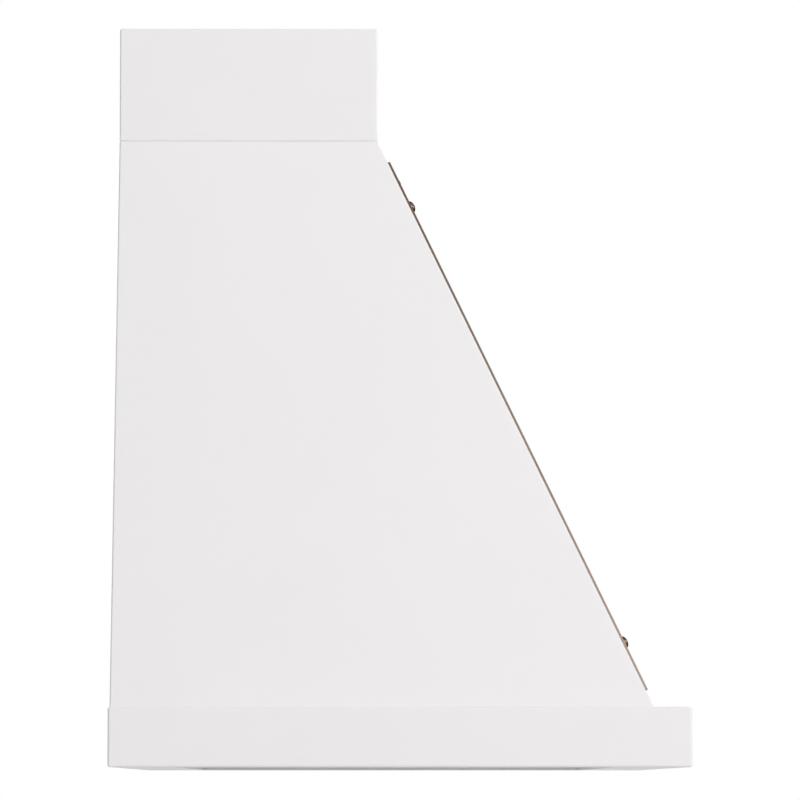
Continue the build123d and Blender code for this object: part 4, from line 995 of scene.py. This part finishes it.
# %% Pointer lines and dial marks
KNOB_X, KNOB_GRIP_RADIUS, KNOB_LOW = 45.0, 13.0, 9.5
POINTER_WIDTH, POINTER_START, POINTER_END_MARGIN = 1.6, 3.0, 2.4
INLAY = 0.15
MARK_START, MARK_END, MARK_WIDTH = 19.5, 23.0, 1.0
MARKS_PER_DIAL = 7
MARK_SPREAD = 270.0


def inlay(centre, angle, start, end, width, height):
    """A flat bar from start to end along one direction: four corners, carried from its foot to its
    top, which is drawn in by half the inlay's height. It stands down from the surface, along -Z."""
    along = np.array([math.cos(angle), math.sin(angle), 0.0])
    beside = np.array([-along[1], along[0], 0.0])
    corners = np.array([(start, -1), (start, 1), (end, 1), (end, -1)], dtype=float)
    rings = []
    for drop, shrink in ((-height, 0.0), (height / 2, 0.0), (height, height / 2)):
        middle = (start + end) / 2
        a = middle + (corners[:, 0] - middle) * (1 - 2 * shrink / (end - start))
        b = corners[:, 1] * (width / 2 - shrink)
        rings.append(a[:, None] * along + b[:, None] * beside - (0, 0, drop))
    return (np.stack(rings) + centre) * MM


mark_degrees = np.linspace(-MARK_SPREAD / 2, MARK_SPREAD / 2, MARKS_PER_DIAL)
mark_angles = np.radians(mark_degrees) - np.pi / 2
for name, side in {"fan": -1, "light": 1}.items():
    knob_end = (side * KNOB_X, PANEL_Y, KNOB_LOW)
    pointer = inlay(knob_end, mark_angles[0], POINTER_START,
                    KNOB_GRIP_RADIUS - POINTER_END_MARGIN, POINTER_WIDTH, INLAY)
    make_piece(f"{name}_knob_pointer", [pointer], WHITE_INK, f"{name}_control")
    dial_middle = (side * KNOB_X, PANEL_Y, PANEL_HEIGHT)
    dial = [inlay(dial_middle, angle, MARK_START, MARK_END, MARK_WIDTH, INLAY)
            for angle in mark_angles]
    make_piece(f"{name}_dial_marks", dial, BLACK_INK, "hood")
print("dial marks", 2 * MARKS_PER_DIAL)

# %% [markdown]
# Filter rivets. The folded frames of the filters are closed with a small flat rivet near each
# corner, turned from an outline like the large ones. They ride on the filters, so that they swing
# down with them.

# %% Filter corner rivets
FILTER_INNER, FILTER_OUTER, FILTER_FRONT, FILTER_REAR = 4.5, 383.5, -401.0, -97.0
FILTER_BOTTOM, CORNER_RIVET_INSET = 27.0, 7.0
CORNER_RIVET_RADIUS, CORNER_RIVET_HEIGHT, CORNER_RIVET_ROOT = 2.4, 0.9, 0.3
CORNER_RIVET_RINGS, CORNER_RIVET_TURNS = 8, 24
dome = np.linspace(0.0, np.pi / 2, CORNER_RIVET_RINGS)
head_radius = np.append(CORNER_RIVET_RADIUS * np.cos(dome[:-1]), POLE_RADIUS)
corner_radius = np.concatenate([[POLE_RADIUS, CORNER_RIVET_RADIUS], head_radius])
corner_height = np.concatenate([[-CORNER_RIVET_ROOT] * 2, CORNER_RIVET_HEIGHT * np.sin(dome)])
for name, side in {"left": -1, "right": 1}.items():
    corners = [(side * x, y, FILTER_BOTTOM)
               for x in (FILTER_INNER + CORNER_RIVET_INSET, FILTER_OUTER - CORNER_RIVET_INSET)
               for y in (FILTER_FRONT + CORNER_RIVET_INSET, FILTER_REAR - CORNER_RIVET_INSET)]
    heads = [revolve(corner_radius, corner_height, corner, DOWN, CORNER_RIVET_TURNS) * MM
             for corner in corners]
    make_piece(f"filter_{name}_rivets", heads, STAINLESS, f"filter_{name}")
print("filter rivets", 2 * len(corners))
